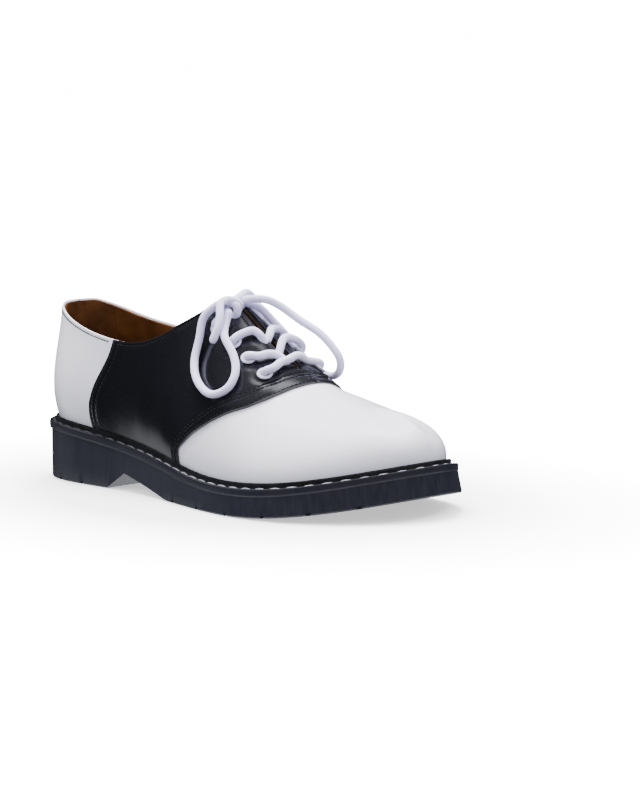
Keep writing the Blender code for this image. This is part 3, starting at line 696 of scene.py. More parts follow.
# How much light shiny faces see towards one side of the sky: the edge and the full width are in degrees.
def skySpot(tree, direction, towards, edge, full, strength):
    aim = tuple(Vector(towards).normalized())
    facing = addNode(tree, "ShaderNodeVectorMath", {0: direction, 1: aim}, operation="DOT_PRODUCT")
    narrow, wide = math.cos(math.radians(full)), math.cos(math.radians(edge))
    return rangeNode(tree, facing.outputs["Value"], wide, narrow, 0.0, strength)


# The floor's own glow grows from the shoe outwards, over an oval with these half sides: a painted shadow
# round the shoe. Each box light has its height, its way right and back from the shoe, its sides and its
# power. The sky's bands have two heights of the direction and the light at each.
stage = {
    "floorRadius": 40.0,
    "floorSpokes": 48,
    "floorColour": (0.90, 0.90, 0.90, 1),
    "shadowOvalHalves": (0.30, 0.20),
    "glowFrom": 0.45,
    "glowTo": 1.15,
    "shadedGlow": (0.7, 14.0),
    "aim": (0, 0, 0.05),
    "boxes": (
        ("topBox", 1.5, -0.1, -0.35, (0.9, 0.9), 84),
        ("leftBox", 0.75, -1.3, 0.5, (0.35, 0.9), 6),
        ("rightBox", 0.8, 1.3, 0.2, (0.35, 0.9), 5),
    ),
    "floorGlow": (-0.36, -0.60, 0.0, 1.8),
    "ceilingGlow": (0.50, 0.95, 0.0, 0.30),
    "daylight": (-0.25, 0.9, 0.40, 2.9),
    "dayColour": (0.90, 0.915, 1.0, 1),
    "gleamColour": (0.92, 0.94, 1.0, 1),
    "darkest": 0.025,
    "lowSpot": ((-0.92, -0.30, -0.25), 12, 3, 1.0),
    "highSpot": ((-0.17, 0.20, 0.965), 15, 4, 5.0),
}


# A wide flat floor that glows, with a painted shadow round the shoe, under a white sky. Shiny faces see the
# sky's own dark and light bands instead.
def makeStage(right, back):
    spokes = stage["floorSpokes"]
    points = [(0.0, 0.0, 0.0)]
    for angle in np.arange(spokes) * 2 * math.pi / spokes:
        points.append((stage["floorRadius"] * math.cos(angle), stage["floorRadius"] * math.sin(angle), 0.0))
    faces = [(0, i + 1, (i + 1) % spokes + 1) for i in range(spokes)]
    paper, tree, shader = newFinish("floorPaper")
    shader["Base Color"].default_value = stage["floorColour"]
    shader["Roughness"].default_value = 0.9
    shader["Specular IOR Level"].default_value = 0.0
    shader["Emission Color"].default_value = (1, 1, 1, 1)
    # Painted shadow: the floor's glow is dim under and near the shoe and grows outwards over an oval.
    oval = (1 / stage["shadowOvalHalves"][0], 1 / stage["shadowOvalHalves"][1], 1)
    stretched = nodeOutput(tree, "ShaderNodeMapping", {"Vector": objectPlace(tree), "Scale": oval})
    away = addNode(tree, "ShaderNodeVectorMath", {0: stretched}, operation="LENGTH")
    shadedGlow = rangeNode(tree, away.outputs["Value"], stage["glowFrom"], stage["glowTo"], *stage["shadedGlow"])
    tree.links.new(shadedGlow, shader["Emission Strength"])
    floor = meshPiece("floor", np.array(points) + lastMiddle, faces, paper)
    floor.visible_glossy = False
    floor.visible_diffuse = False
    for name, high, toRight, toBack, sides, power in stage["boxes"]:
        place = Vector((0, 0, 1)) * high + right * toRight + back * toBack
        areaLight(name, place, stage["aim"], sides, power)
    world = bpy.data.worlds.new("studio")
    bpy.context.scene.world = world
    world.use_nodes = True
    nodes = world.node_tree
    rays = nodes.nodes.new("ShaderNodeLightPath").outputs
    direction = nodes.nodes.new("ShaderNodeTexCoord").outputs["Generated"]
    height = splitNode(nodes, direction)[2]
    floorGlow, ceilingGlow, daylight = (
        rangeNode(nodes, height, *stage[band]) for band in ("floorGlow", "ceilingGlow", "daylight")
    )
    bands = mathNode(nodes, "ADD", mathNode(nodes, "ADD", floorGlow, ceilingGlow), stage["darkest"])
    for spot in ("lowSpot", "highSpot"):
        bands = mathNode(nodes, "ADD", bands, skySpot(nodes, direction, *stage[spot]))
    shown = skyLight(nodes, stage["dayColour"], daylight)
    gleams = skyLight(nodes, stage["gleamColour"], bands)
    backdrop = skyLight(nodes, (1, 1, 1, 1), 1.0)
    for ray, other in (("Is Glossy Ray", gleams), ("Is Camera Ray", backdrop)):
        shown = nodeOutput(nodes, "ShaderNodeMixShader", {0: rays[ray], 1: shown, 2: other})
    nodes.links.new(shown, nodes.nodes["World Output"].inputs["Surface"])


cameraRight, cameraBack = placeCamera()
makeStage(cameraRight, cameraBack)
print("stage: camera and light")


laceWidth = 0.0044


# How far along a line each of its points lies.
def travelled(line):
    return np.concatenate([[0], np.cumsum(np.linalg.norm(np.diff(line, axis=0), axis=1))])


def alongLine(where, lengths, values):
    return np.column_stack([np.interp(where, lengths, values[:, k]) for k in range(3)])


def laceLine(route, step=0.0011):
    route = np.array(route)
    lengths = travelled(route)
    count = int(round(lengths[-1] / step)) + 1
    line = cubicCurve(lengths, route)(np.linspace(0, lengths[-1], count))
    return line, float(np.linalg.norm(np.diff(line, axis=0), axis=1).sum())


# A round lace along a line, with a UV that runs along it and round it, and half-round ends.
def laceTube(name, line, width=laceWidth, sides=16):
    radius = width / 2
    along = np.gradient(line, axis=0)
    along /= np.linalg.norm(along, axis=1)[:, None]
    tipAngles = np.radians([75, 50, 25])
    startTip = [(0, -math.sin(a), math.cos(a)) for a in tipAngles]
    endTip = [(-1, math.sin(a), math.cos(a)) for a in tipAngles[::-1]]
    stations = startTip + [(i, 0.0, 1.0) for i in range(len(line))] + endTip
    side = np.cross(along[0], (0, 0, 1) if abs(along[0][2]) < 0.9 else (1, 0, 0))
    sidesAt = []
    for direction in along:
        side = side - direction * side.dot(direction)
        side /= np.linalg.norm(side)
        sidesAt.append(side)
    points, travel = [], []
    gone = 0.0
    for number, (i, forward, wide) in enumerate(stations):
        middle = line[i] + along[i] * forward * radius
        if number:
            gone += np.linalg.norm(middle - last)
        last = middle
        other = np.cross(along[i], sidesAt[i])
        for k in range(sides):
            angle = 2 * math.pi * k / sides
            points.append(middle + (sidesAt[i] * math.cos(angle) + other * math.sin(angle)) * radius * wide)
        travel.append(gone)
    rings = len(stations)
    faces = [
        (r * sides + k, r * sides + (k + 1) % sides, (r + 1) * sides + (k + 1) % sides, (r + 1) * sides + k)
        for r in range(rings - 1)
        for k in range(sides)
    ]
    caps = [tuple(range(sides))[::-1], tuple(range((rings - 1) * sides, rings * sides))]
    piece = meshPiece(name, points, faces + caps, laceBraid)
    layer = piece.data.uv_layers.new(name="along")
    for face, polygon in zip(faces, piece.data.polygons):
        ring, k = divmod(face[0], sides)
        corners = ((ring, k), (ring, k + 1), (ring + 1, k + 1), (ring + 1, k))
        for loop, (r, turn) in zip(polygon.loop_indices, corners):
            layer.data[loop].uv = (travel[r], turn / sides)
    return piece


loopLateralRoute = (
    (0.1496, -0.0132, 0.1064), (0.1438, -0.0181, 0.0998), (0.1440, -0.0220, 0.0890),
    (0.1452, -0.0265, 0.0790), (0.1512, -0.0320, 0.0705), (0.1622, -0.0370, 0.0642),
    (0.1748, -0.0385, 0.0612), (0.1822, -0.0350, 0.0650), (0.1825, -0.0300, 0.0713),
    (0.1785, -0.0260, 0.0775), (0.1725, -0.0237, 0.0838), (0.1652, -0.0218, 0.0900),
    (0.1590, -0.0158, 0.0966), (0.1580, -0.0126, 0.1020),
)
loopMedialRoute = (
    (0.1566, 0.0012, 0.1083), (0.1630, 0.0100, 0.1080), (0.1690, 0.0175, 0.1030),
    (0.1775, 0.0225, 0.0962), (0.1885, 0.0260, 0.0900), (0.1965, 0.0285, 0.0825),
    (0.2005, 0.0305, 0.0750), (0.1985, 0.0320, 0.0695), (0.1930, 0.0335, 0.0660),
    (0.1850, 0.0340, 0.0655), (0.1790, 0.0315, 0.0690), (0.1730, 0.0290, 0.0740),
    (0.1670, 0.0265, 0.0812), (0.1615, 0.0238, 0.0886), (0.1580, 0.0178, 0.0965),
    (0.1557, 0.0102, 0.1039), (0.1536, 0.0050, 0.1060),
)
knotPlace = (0.1538, -0.0062, 0.1078)
endLateralRoute = (
    knotPlace, (0.1544, -0.0143, 0.1082), (0.1592, -0.0198, 0.1010), (0.1610, -0.0233, 0.0948),
    (0.1604, -0.0260, 0.0888),
)
endMedialRoute = (
    knotPlace, (0.1508, 0.0022, 0.1098), (0.1480, 0.0095, 0.1110), (0.1465, 0.0160, 0.1065),
    (0.1460, 0.0215, 0.0990), (0.1465, 0.0255, 0.0900),
)
# The knot's own turns: the wrap over its top and the strand that runs down its front.
knotTurns = (
    (
        (0.1469, -0.0043, 0.1030), (0.1473, -0.0078, 0.1055), (0.1506, -0.0100, 0.1080),
        (0.1538, -0.0096, 0.1090), (0.1561, -0.0076, 0.1086), (0.1569, -0.0047, 0.1069),
        (0.1547, -0.0020, 0.1041), (0.1510, -0.0013, 0.1024),
    ),
    (
        (0.1501, -0.0062, 0.1055), (0.1547, -0.0075, 0.1069), (0.1577, -0.0070, 0.1061),
        (0.1580, -0.0062, 0.1031), (0.1559, -0.0059, 0.1001), (0.1521, -0.0053, 0.0987),
        (0.1486, -0.0044, 0.1003),
    ),
)


def removePieces(pieces):
    for piece in pieces:
        mesh = piece.data
        bpy.data.objects.remove(piece)
        bpy.data.meshes.remove(mesh)


def joined(name, parts):
    shape = bmesh.new()
    for part in parts:
        shape.from_mesh(part.data)
    mesh = bpy.data.meshes.new(name)
    shape.to_mesh(mesh)
    shape.free()
    mesh.materials.append(parts[0].data.materials[0])
    removePieces(parts)
    piece = bpy.data.objects.new(name, mesh)
    bpy.context.scene.collection.objects.link(piece)
    return piece


def makeBow():
    wraps = [laceTube(f"knotTurn{i}", laceLine(turns)[0]) for i, turns in enumerate(knotTurns)]
    knot = joined("laceKnot", wraps)
    dress(knot, "white_cord", "lace_knot")
    cords = (
        ("laceLoopLateral", loopLateralRoute, "object", "lace_loop_lateral", [knot]),
        ("laceLoopMedial", loopMedialRoute, "object", "lace_loop_medial", []),
        ("laceEndLateral", endLateralRoute, "bare", "lace_end_lateral", []),
        ("laceEndMedial", endMedialRoute, "bare", "lace_end_medial", []),
    )
    for name, route, farEnd, node, onIt in cords:
        line, length = laceLine(route)
        lace = laceTube(name, line)
        dress(lace, "white_cord", node)
        print(f"cord {name}: {length * 1000:.0f} mm")


makeBow()


# Where a lace comes up through an eyelet: from inside its barrel to over its flange.
def throughEyelet(index, side):
    turn, level = eyeletRows[index]
    turn = 2 - turn if side > 0 else turn
    place, normal = overUpper([turn], [level], [0])[0], upperNormal([turn], [level])[0]
    return [place + normal * lift for lift in (-0.003, 0.0008, 0.0034)]


# Strands over the facings: lateral eyelet or None, points between, medial eyelet or None.
laceStrands = (
    (
        "laceBar", 0, 0, "lace_bar",
        (
            (0.1957, -0.0148, 0.0746), (0.1955, -0.0087, 0.0771), (0.1957, -0.0025, 0.0784),
            (0.1954, 0.0040, 0.0799), (0.1946, 0.0080, 0.0786), (0.1929, 0.0130, 0.0762),
        ),
    ),
    (
        "laceCrossLow", 1, None, "lace_cross_1",
        (
            (0.1843, -0.0154, 0.0806), (0.1866, -0.0111, 0.0813), (0.1888, -0.0068, 0.0811),
            (0.1905, -0.0042, 0.0795), (0.1915, -0.0010, 0.0760),
        ),
    ),
    (
        "laceCrossHigh", 2, None, "lace_cross_2",
        (
            (0.1682, -0.0147, 0.0905), (0.1700, -0.0108, 0.0922), (0.1717, -0.0067, 0.0928),
            (0.1737, -0.0052, 0.0914), (0.1751, -0.0026, 0.0872), (0.1755, -0.0006, 0.0820),
        ),
    ),
    (
        "laceUnderHigh", None, 2, "lace_cross_2",
        (
            (0.1740, -0.0020, 0.0835), (0.1740, 0.0010, 0.0868), (0.1726, 0.0045, 0.0906),
            (0.1690, 0.0095, 0.0922),
        ),
    ),
    (
        "laceUnderLow", None, 1, "lace_cross_1",
        (
            (0.1850, -0.0020, 0.0780), (0.1838, 0.0015, 0.0822), (0.1815, 0.0055, 0.0866),
            (0.1798, 0.0105, 0.0882),
        ),
    ),
    (
        "laceRiseLateral", 3, None, "lace_rise_lateral",
        ((0.1500, -0.0125, 0.0985), (0.1515, -0.0080, 0.1030)),
    ),
    (
        "laceRiseMedial", None, 3, "lace_rise_medial",
        ((0.1515, 0.0000, 0.1060), (0.1500, 0.0080, 0.1035)),
    ),
)


def makeStrands():
    for name, lateral, medial, node, between in laceStrands:
        route = [] if lateral is None else throughEyelet(lateral, -1)
        route += [np.array(p) for p in between]
        route += [] if medial is None else throughEyelet(medial, 1)[::-1]
        dress(laceTube(name, laceLine(route)[0]), "white_cord", node)


makeStrands()
print("stage: lace")


def vectorNode(tree, **parts):
    return nodeOutput(tree, "ShaderNodeCombineXYZ", parts)


def pointVector(tree, name):
    return nodeOutput(tree, "GeometryNodeInputNamedAttribute", {"Name": name}, data_type="FLOAT_VECTOR")


def turnedTo(tree, axis, pivot="AUTO", **values):
    return nodeOutput(tree, "FunctionNodeAlignRotationToVector", values, axis=axis, pivot_axis=pivot)


def circleCurve(tree, resolution, radius):
    values = {"Resolution": resolution, "Radius": radius}
    return nodeOutput(tree, "GeometryNodeCurvePrimitiveCircle", values)


def sweptMesh(tree, curve, section, caps=False):
    values = {"Curve": curve, "Profile Curve": section, "Fill Caps": caps}
    return nodeOutput(tree, "GeometryNodeCurveToMesh", values)


# An instance on each of the piece's points, made real and given its material.
def onPoints(tree, given, result, **values):
    placed = nodeOutput(tree, "GeometryNodeInstanceOnPoints", {"Points": given["Geometry"], **values})
    real = nodeOutput(tree, "GeometryNodeRealizeInstances", {"Geometry": placed})
    painted = nodeOutput(tree, "GeometryNodeSetMaterial", {"Geometry": real, "Material": given["Material"]})
    tree.links.new(painted, result["Geometry"])


def makeStitchTree():
    tree, given, result = newTree(
        "stitchRow",
        "GeometryNodeTree",
        (
            ("Geometry", "NodeSocketGeometry", None),
            ("Length", "NodeSocketFloat", 0.002),
            ("Thread", "NodeSocketFloat", 0.0005),
            ("Crown", "NodeSocketFloat", 0.0004),
            ("Jitter", "NodeSocketFloat", 0.05),
            ("Seed", "NodeSocketInt", 1),
            ("Material", "NodeSocketMaterial", None),
        ),
        (("Geometry", "NodeSocketGeometry"),),
    )
    half, backHalf = (mathNode(tree, "MULTIPLY", given["Length"], share) for share in (0.5, -0.5))
    sunk = mathNode(tree, "MULTIPLY", given["Thread"], -0.6)
    arch = {
        "Resolution": 8,
        "Start": vectorNode(tree, X=backHalf, Z=sunk),
        "Middle": vectorNode(tree, Z=mathNode(tree, "MULTIPLY", given["Crown"], 2.0)),
        "End": vectorNode(tree, X=half, Z=sunk),
    }
    line = nodeOutput(tree, "GeometryNodeCurveQuadraticBezier", arch)
    section = circleCurve(tree, 8, mathNode(tree, "MULTIPLY", given["Thread"], 0.5))
    thread = sweptMesh(tree, line, section, True)
    lying = turnedTo(tree, "X", Vector=pointVector(tree, "along"))
    placed = turnedTo(tree, "Z", "X", Rotation=lying, Vector=pointVector(tree, "outward"))
    low = mathNode(tree, "SUBTRACT", 1.0, given["Jitter"])
    high = mathNode(tree, "ADD", 1.0, given["Jitter"])
    span = {2: low, 3: high, "Seed": given["Seed"]}
    size = addNode(tree, "FunctionNodeRandomValue", span, data_type="FLOAT")
    onPoints(tree, given, result, Instance=thread, Rotation=placed, Scale=size.outputs[1])
    return tree


def makeEyeletTree():
    tree, given, result = newTree(
        "eyeletRing",
        "GeometryNodeTree",
        (
            ("Geometry", "NodeSocketGeometry", None),
            ("Hole", "NodeSocketFloat", 0.0027),
            ("Flange", "NodeSocketFloat", 0.0044),
            ("Height", "NodeSocketFloat", 0.0011),
            ("Barrel", "NodeSocketFloat", 0.004),
            ("Material", "NodeSocketMaterial", None),
        ),
        (("Geometry", "NodeSocketGeometry"),),
    )
    wide = mathNode(tree, "SUBTRACT", given["Flange"], given["Hole"])
    ring = circleCurve(tree, 40, mathNode(tree, "MULTIPLY_ADD", wide, 0.5, given["Hole"]))
    oval = vectorNode(tree, X=wide, Y=given["Height"], Z=1.0)
    section = circleCurve(tree, 14, 0.5)
    flat = nodeOutput(tree, "GeometryNodeTransform", {"Geometry": section, "Scale": oval})
    flange = sweptMesh(tree, ring, flat)
    barrelWall = 0.0006
    barrelRing = circleCurve(tree, 40, mathNode(tree, "ADD", given["Hole"], barrelWall / 2))
    sides = {"Width": barrelWall, "Height": given["Barrel"]}
    barrelSection = nodeOutput(tree, "GeometryNodeCurvePrimitiveQuadrilateral", sides)
    barrel = sweptMesh(tree, barrelRing, barrelSection)
    sink = vectorNode(tree, Z=mathNode(tree, "MULTIPLY", given["Barrel"], -0.5))
    sunk = nodeOutput(tree, "GeometryNodeTransform", {"Geometry": barrel, "Translation": sink})
    whole = tree.nodes.new("GeometryNodeJoinGeometry")
    for part in (flange, sunk):
        tree.links.new(part, whole.inputs[0])
    upright = turnedTo(tree, "Z", Vector=pointVector(tree, "outward"))
    onPoints(tree, given, result, Instance=whole.outputs[0], Rotation=upright)
    return tree


stitchTree = makeStitchTree()
eyeletTree = makeEyeletTree()


# A piece from a node tree at points that each have an outward direction and a direction along the row.
def nodePiece(name, tree, places, outwards, alongs, values):
    piece = meshPiece(name, places, [], values["Material"])
    for label, vectors in (("outward", outwards), ("along", alongs)):
        attribute = piece.data.attributes.new(label, "FLOAT_VECTOR", "POINT")
        attribute.data.foreach_set("vector", np.asarray(vectors, np.float32).ravel())
    modifier = piece.modifiers.new(tree.name, "NODES")
    modifier.node_group = tree
    for item in tree.interface.items_tree:
        if item.item_type == "SOCKET" and item.in_out == "INPUT" and item.name in values:
            modifier[item.identifier] = values[item.name]
    return facingOut(settled(piece))


# Stitch places at an even pitch along a curve of turns and levels.
def rowPlaces(turns, levels, lift, pitch):
    line = overUpper(turns, levels, np.full(len(turns), lift))
    lengths = travelled(line)
    count = max(2, int(lengths[-1] / pitch))
    where = (np.arange(count) + 0.5) * lengths[-1] / count
    ahead, behind = (alongLine(where + way * pitch / 3, lengths, line) for way in (1, -1))
    outwards = alongLine(where, lengths, upperNormal(turns, levels))
    return alongLine(where, lengths, line), outwards, ahead - behind


def stitchPiece(name, rows, lift, settings):
    found = [rowPlaces(turns, levels, lift, settings["pitch"]) for turns, levels in rows]
    places, outwards, alongs = (np.concatenate(part) for part in zip(*found))
    values = {**settings["thread"], "Material": blackThread}
    return nodePiece(name, stitchTree, places, outwards, alongs, values)


# Stitch rows keep a distance from an edge of the saddle. The inner rows keep the first distance from the
# front edge low down, and the second higher up. The top and facing rows have a first and last turn, a
# count of points and a distance. The groove under a row has a depth and a width, and the dent round an
# eyelet has a depth, a radius and a width.
saddle = {
    "columns": 170,
    "rows": 92,
    "lift": 0.0016,
    "thick": 0.0013,
    "edgeRound": 0.0004,
    "wearWidth": 0.0016,
    "rowLevels": (0.03, 1.0, 90),
    "frontRows": (0.0014,),
    "innerRows": ((0.0024, 0.0080), (0.0046, 0.0102)),
    "backRows": (0.0016, 0.0052),
    "topRow": (0.325, 0.505, 80, 0.0021),
    "facingRow": (0.535, 0.672, 60, 0.0023),
    "groove": (0.00030, 0.0008),
    "dent": (0.00050, 0.0056, 0.0028),
    "threadSink": 0.00018,
    "pitch": 0.0027,
    "thread": {"Length": 0.0023, "Thread": 0.00055, "Crown": 0.00022, "Jitter": 0.06, "Seed": 3},
}


# The saddle's stitch rows, first all of the lateral side and then all of the medial side.
def saddleStitchRows():
    levels = np.linspace(*saddle["rowLevels"])
    rows = [besideCurve(saddleFront(levels), levels, distance) for distance in saddle["frontRows"]]
    spread = np.clip((levels - 0.15) / 0.40, 0, 1)
    for low, high in saddle["innerRows"]:
        rows.append(besideCurve(saddleFront(levels), levels, low + (high - low) * spread ** 0.7))
    rows += [besideCurve(saddleBack(levels), levels, -distance) for distance in saddle["backRows"]]
    for first, last, count, distance in (saddle["topRow"], saddle["facingRow"]):
        rows.append(besideCurve(np.linspace(first, last, count), np.ones(count), -distance))
    return rows + [(2 - turns, rowLevels) for turns, rowLevels in rows]


# The leather is pressed in along a stitched path.
def pressedIn(points, path, depth, width):
    return -depth * np.exp(-(nearestDistance(points, path) / width) ** 2)


def saddleRelief(points, rows):
    lifts = np.zeros(len(points))
    for turns, levels in rows:
        lifts += pressedIn(points, upperSurface(turns, levels), *saddle["groove"])
    depth, radius, width = saddle["dent"]
    for turn, level in eyeletRows:
        for turned in (turn, 2 - turn):
            away = np.linalg.norm(points - upperSurface([turned], [level])[0], axis=1)
            lifts -= depth * np.exp(-((away - radius) / width) ** 2)
    return lifts


def makeSaddle():
    columns, rows = saddle["columns"], saddle["rows"]
    share = np.linspace(0, 1, columns)[:, None]
    levels = np.linspace(0, 1, rows)
    back, front = saddleBack(levels), saddleFront(levels)
    lateral = back + (front - back) * share
    turns = np.concatenate([lateral, 2 - lateral[::-1]])
    levelGrid = np.broadcast_to(levels, turns.shape)
    stitchRows = saddleStitchRows()
    lifts = saddle["lift"] + saddleRelief(upperSurface(turns.ravel(), levelGrid.ravel()), stitchRows)
    placed = overUpper(turns.ravel(), levelGrid.ravel(), lifts)
    faces = [f for f in gridFaces(2 * columns, rows) if f[0] // rows != columns - 1]
    piece = meshPiece("saddlePanel", placed, faces, blackLeather)
    grid = placed.reshape(2 * columns, rows, 3)
    openTop = grid[:, -1][foldedTurn(turns[:, -1])[0] < throatTurn]
    border = np.concatenate([grid[0], grid[columns - 1], grid[columns], grid[-1], openTop])
    pointValue(piece, "worn", wornNear(placed, border, saddle["wearWidth"]))
    addWeld(piece)
    addWall(piece, saddle["thick"], saddle["edgeRound"], 60, 2)
    dress(settled(piece), "black_leather", "saddle")
    lift = saddle["lift"] - saddle["threadSink"]
    dress(stitchPiece("saddleStitches", stitchRows, lift, saddle), "black_leather")


# Under is how far the vamp runs below the saddle, in turns. The grey patch has its middle, its way and its
# half sizes along and across.
vamp = {
    "under": 0.025,
    "columns": 90,
    "rows": 70,
    "thick": 0.0013,
    "calmRadius": 0.016,
    "patchMiddle": (0.1756, -0.0413, 0.0457),
    "patchWay": (0.89, 0.06, 0.45),
    "patchHalves": (0.007, 0.0022),
    "liningTop": 0.85,
    "liningSink": 0.0018,
    "liningThick": 0.0008,
}


def makeVamp():
    levels = np.linspace(0, 1, vamp["rows"])
    start = saddleFront(levels) - vamp["under"]
    lateral = start + (1 - start) * np.linspace(0, 1, vamp["columns"])[:, None]
    turns = np.concatenate([lateral, 2 - lateral[-2::-1]])
    levelGrid = np.broadcast_to(levels, turns.shape)
    calm = (upperSurface([1.0], [1.0])[0], vamp["calmRadius"])
    flat = np.zeros(turns.size)
    piece = leatherPanel("vampPanel", turns, levelGrid, flat, vamp["thick"], whiteLeather, 0, calm=calm)
    points = np.empty(3 * len(piece.data.vertices))
    piece.data.vertices.foreach_get("co", points)
    # A grey patch on the vamp's side, whose share falls off over an oval.
    away = points.reshape(-1, 3) + lastMiddle - vamp["patchMiddle"]
    way, (long, wide) = np.array(vamp["patchWay"]), vamp["patchHalves"]
    along = away @ way
    across = np.linalg.norm(away - along[:, None] * way, axis=1)
    pointValue(piece, "greyPatch", np.exp(-(along / long) ** 2 - (across / wide) ** 2))
    dress(piece, "white_leather", "upper")
    thick, liningLevels = vamp["liningThick"], levelGrid * vamp["liningTop"]
    under = leatherPanel(
        "vampLining", turns, liningLevels, flat - vamp["liningSink"], thick, liningLeather, 0
    )
    dress(under, "tan_leather")


# Turns and levels with three numbers are a first, a last and a count. The back seam has a row of stitches
# at each of its turns, and the grooves have a depth and a width.
counter = {
    "under": 0.020,
    "columns": 120,
    "rows": 70,
    "thick": 0.0013,
    "edgeRound": 0.0005,
    "wearWidth": 0.0014,
    "topTurns": (-0.30, 0.30, 160),
    "topRow": 0.0020,
    "seamLevels": (0.05, 0.965, 80),
    "seamTurns": (-0.012, 0.012),
    "topGroove": (0.00025, 0.0008),
    "seamGroove": (0.0003, 0.0006),
    "threadSink": 0.00008,
    "pitch": 0.0027,
    "thread": {"Length": 0.0022, "Thread": 0.00075, "Crown": 0.00030, "Jitter": 0.06, "Seed": 5},
}


def makeCounter():
    levels = np.linspace(0, 1, counter["rows"])
    turns = (saddleBack(levels) + counter["under"]) * np.linspace(-1, 1, counter["columns"])[:, None]
    levelGrid = np.broadcast_to(levels, turns.shape)
    topTurns = np.linspace(*counter["topTurns"])
    topRow = besideCurve(topTurns, np.ones(len(topTurns)), -counter["topRow"])
    seamLevels = np.linspace(*counter["seamLevels"])
    seams = [(np.full(len(seamLevels), turn), seamLevels) for turn in counter["seamTurns"]]
    points = upperSurface(turns.ravel(), levelGrid.ravel())
    lifts = pressedIn(points, upperSurface(*topRow), *counter["topGroove"])
    lifts += pressedIn(points, upperSurface(0.0, seamLevels), *counter["seamGroove"])
    piece = leatherPanel(
        "counterPanel", turns, levelGrid, lifts, counter["thick"], whiteLeather,
        counter["edgeRound"], counter["wearWidth"],
    )
    dress(piece, "white_leather", "upper")
    stitches = stitchPiece("counterStitches", [topRow, *seams], -counter["threadSink"], counter)
    dress(stitches, "black_leather")


# Sinks are below the upper's surface and lifts above it.
lining = {
    "endTurn": 0.685,
    "topLevel": 0.985,
    "columns": 260,
    "rows": 50,
    "sink": 0.0014,
    "thick": 0.0012,
    "seamTurn": -0.115,
    "seamWidth": 0.0025,
    "seamHeight": 0.0005,
}
stay = {
    "turns": (0.345, 0.686, 110),
    "levels": (0.62, 0.991, 20),
    "lift": 0.00025,
    "thick": 0.00165,
    "edgeRound": 0.0003,
}


# The quarters' lining, of which a thin edge shows inside the collar, and the stays under the facings.
def makeLining():
    columns = np.linspace(-lining["endTurn"], lining["endTurn"], lining["columns"])
    turns, levels = np.meshgrid(columns, np.linspace(0, lining["topLevel"], lining["rows"]), indexing="ij")
    seam = np.exp(-((turns - lining["seamTurn"]) / lining["seamWidth"]) ** 2)
    lifts = lining["seamHeight"] * seam - lining["sink"]
    piece = leatherPanel("quarterLining", turns, levels, lifts, lining["thick"], liningLeather)
    dress(piece, "tan_leather", "upper")
    lateral = np.linspace(*stay["turns"])
    for name, sideTurns in (("facingStayLateral", lateral), ("facingStayMedial", 2 - lateral[::-1])):
        turns, levels = np.meshgrid(sideTurns, np.linspace(*stay["levels"]), indexing="ij")
        lifts = np.full(turns.size, stay["lift"])
        piece = leatherPanel(
            name, turns, levels, lifts, stay["thick"], rawEdgeLeather, stay["edgeRound"]
        )
        dress(piece, "tan_leather", "upper")


# The bridge has shares of the way across, between the facings.
tongue = {
    "turns": (0.50, 0.721, 70),
    "levels": (0.69, 1.0, 16),
    "lift": -0.0030,
    "bridge": (0.25, 0.5, 0.75),
    "thick": 0.0018,
    "edgeRound": 0.0006,
}


def makeTongue():
    levels = np.linspace(*tongue["levels"])
    lifts = np.full(len(levels), tongue["lift"])
    columns = []
    for turn in np.linspace(*tongue["turns"]):
        lateral = overUpper(turn, levels, lifts)
        medial = overUpper(2 - turn, levels, lifts)[::-1]
        bridge = [lateral[-1] + (medial[0] - lateral[-1]) * s for s in tongue["bridge"]]
        columns.append(np.concatenate([lateral, bridge, medial]))
    grid = np.array(columns)
    piece = meshPiece("tonguePanel", grid.reshape(-1, 3), gridFaces(*grid.shape[:2]), blackLeather)
    addWeld(piece)
    addWall(piece, tongue["thick"], tongue["edgeRound"], 60, even=False)
    dress(facingOut(settled(piece)), "black_leather", "tongue")


eyelet = {"lift": 0.0022, "Hole": 0.0026, "Flange": 0.0044, "Height": 0.0015, "Barrel": 0.0036}


def makeEyelets():
    places, outwards = [], []
    for turn, level in eyeletRows:
        for turned in (turn, 2 - turn):
            normal = upperNormal([turned], [level])[0]
            places.append(upperSurface([turned], [level])[0] + normal * eyelet["lift"])
            outwards.append(normal)
    values = {**eyelet, "Material": eyeletEnamel}
    rings = nodePiece("eyeletRings", eyeletTree, places, outwards, outwards, values)
    nodes = [f"eyelet_{side}_{i}" for side in ("lateral", "medial") for i in (1, 2, 3, 4)]
    dress(rings, "white_enamel", *nodes)


makeSaddle()
makeVamp()
makeCounter()
makeLining()
makeTongue()
makeEyelets()
print("stage: upper")


def ringTurns(count):
    return np.arange(count) * 2 / count


# A line round the shoe at an inset from the welt's outline and a height over its upper face.
def weltLine(turns, inset, height):
    plan = outlineAt(turns, inset)[0]
    return np.column_stack([plan, weltHeight(plan[:, 0]) + height])


# The section has insets from the outline and heights over the welt's upper face.
welt = {
    "columns": 420,
    "edgeBand": 0.0010,
    "mergeDistance": 1e-6,
    "section": (
        (0.0003, -weltThick), (0.0001, -0.0039), (0.0000, -0.0030), (0.0000, -0.0010), (0.0002, -0.0004),
        (0.0009, 0.0000), (0.0018, 0.0000), (0.0021, -0.0003), (0.0025, -0.0006), (0.0030, -0.0006),
        (0.0034, -0.0003), (0.0036, 0.0003), (0.0037, 0.0014), (0.0039, 0.0023), (0.0044, 0.0028),
        (0.0050, 0.0026), (0.0056, 0.0014), (0.0060, 0.0000), (0.0110, 0.0000), (0.0110, -weltThick),
        (0.0003, -weltThick),
    ),
}


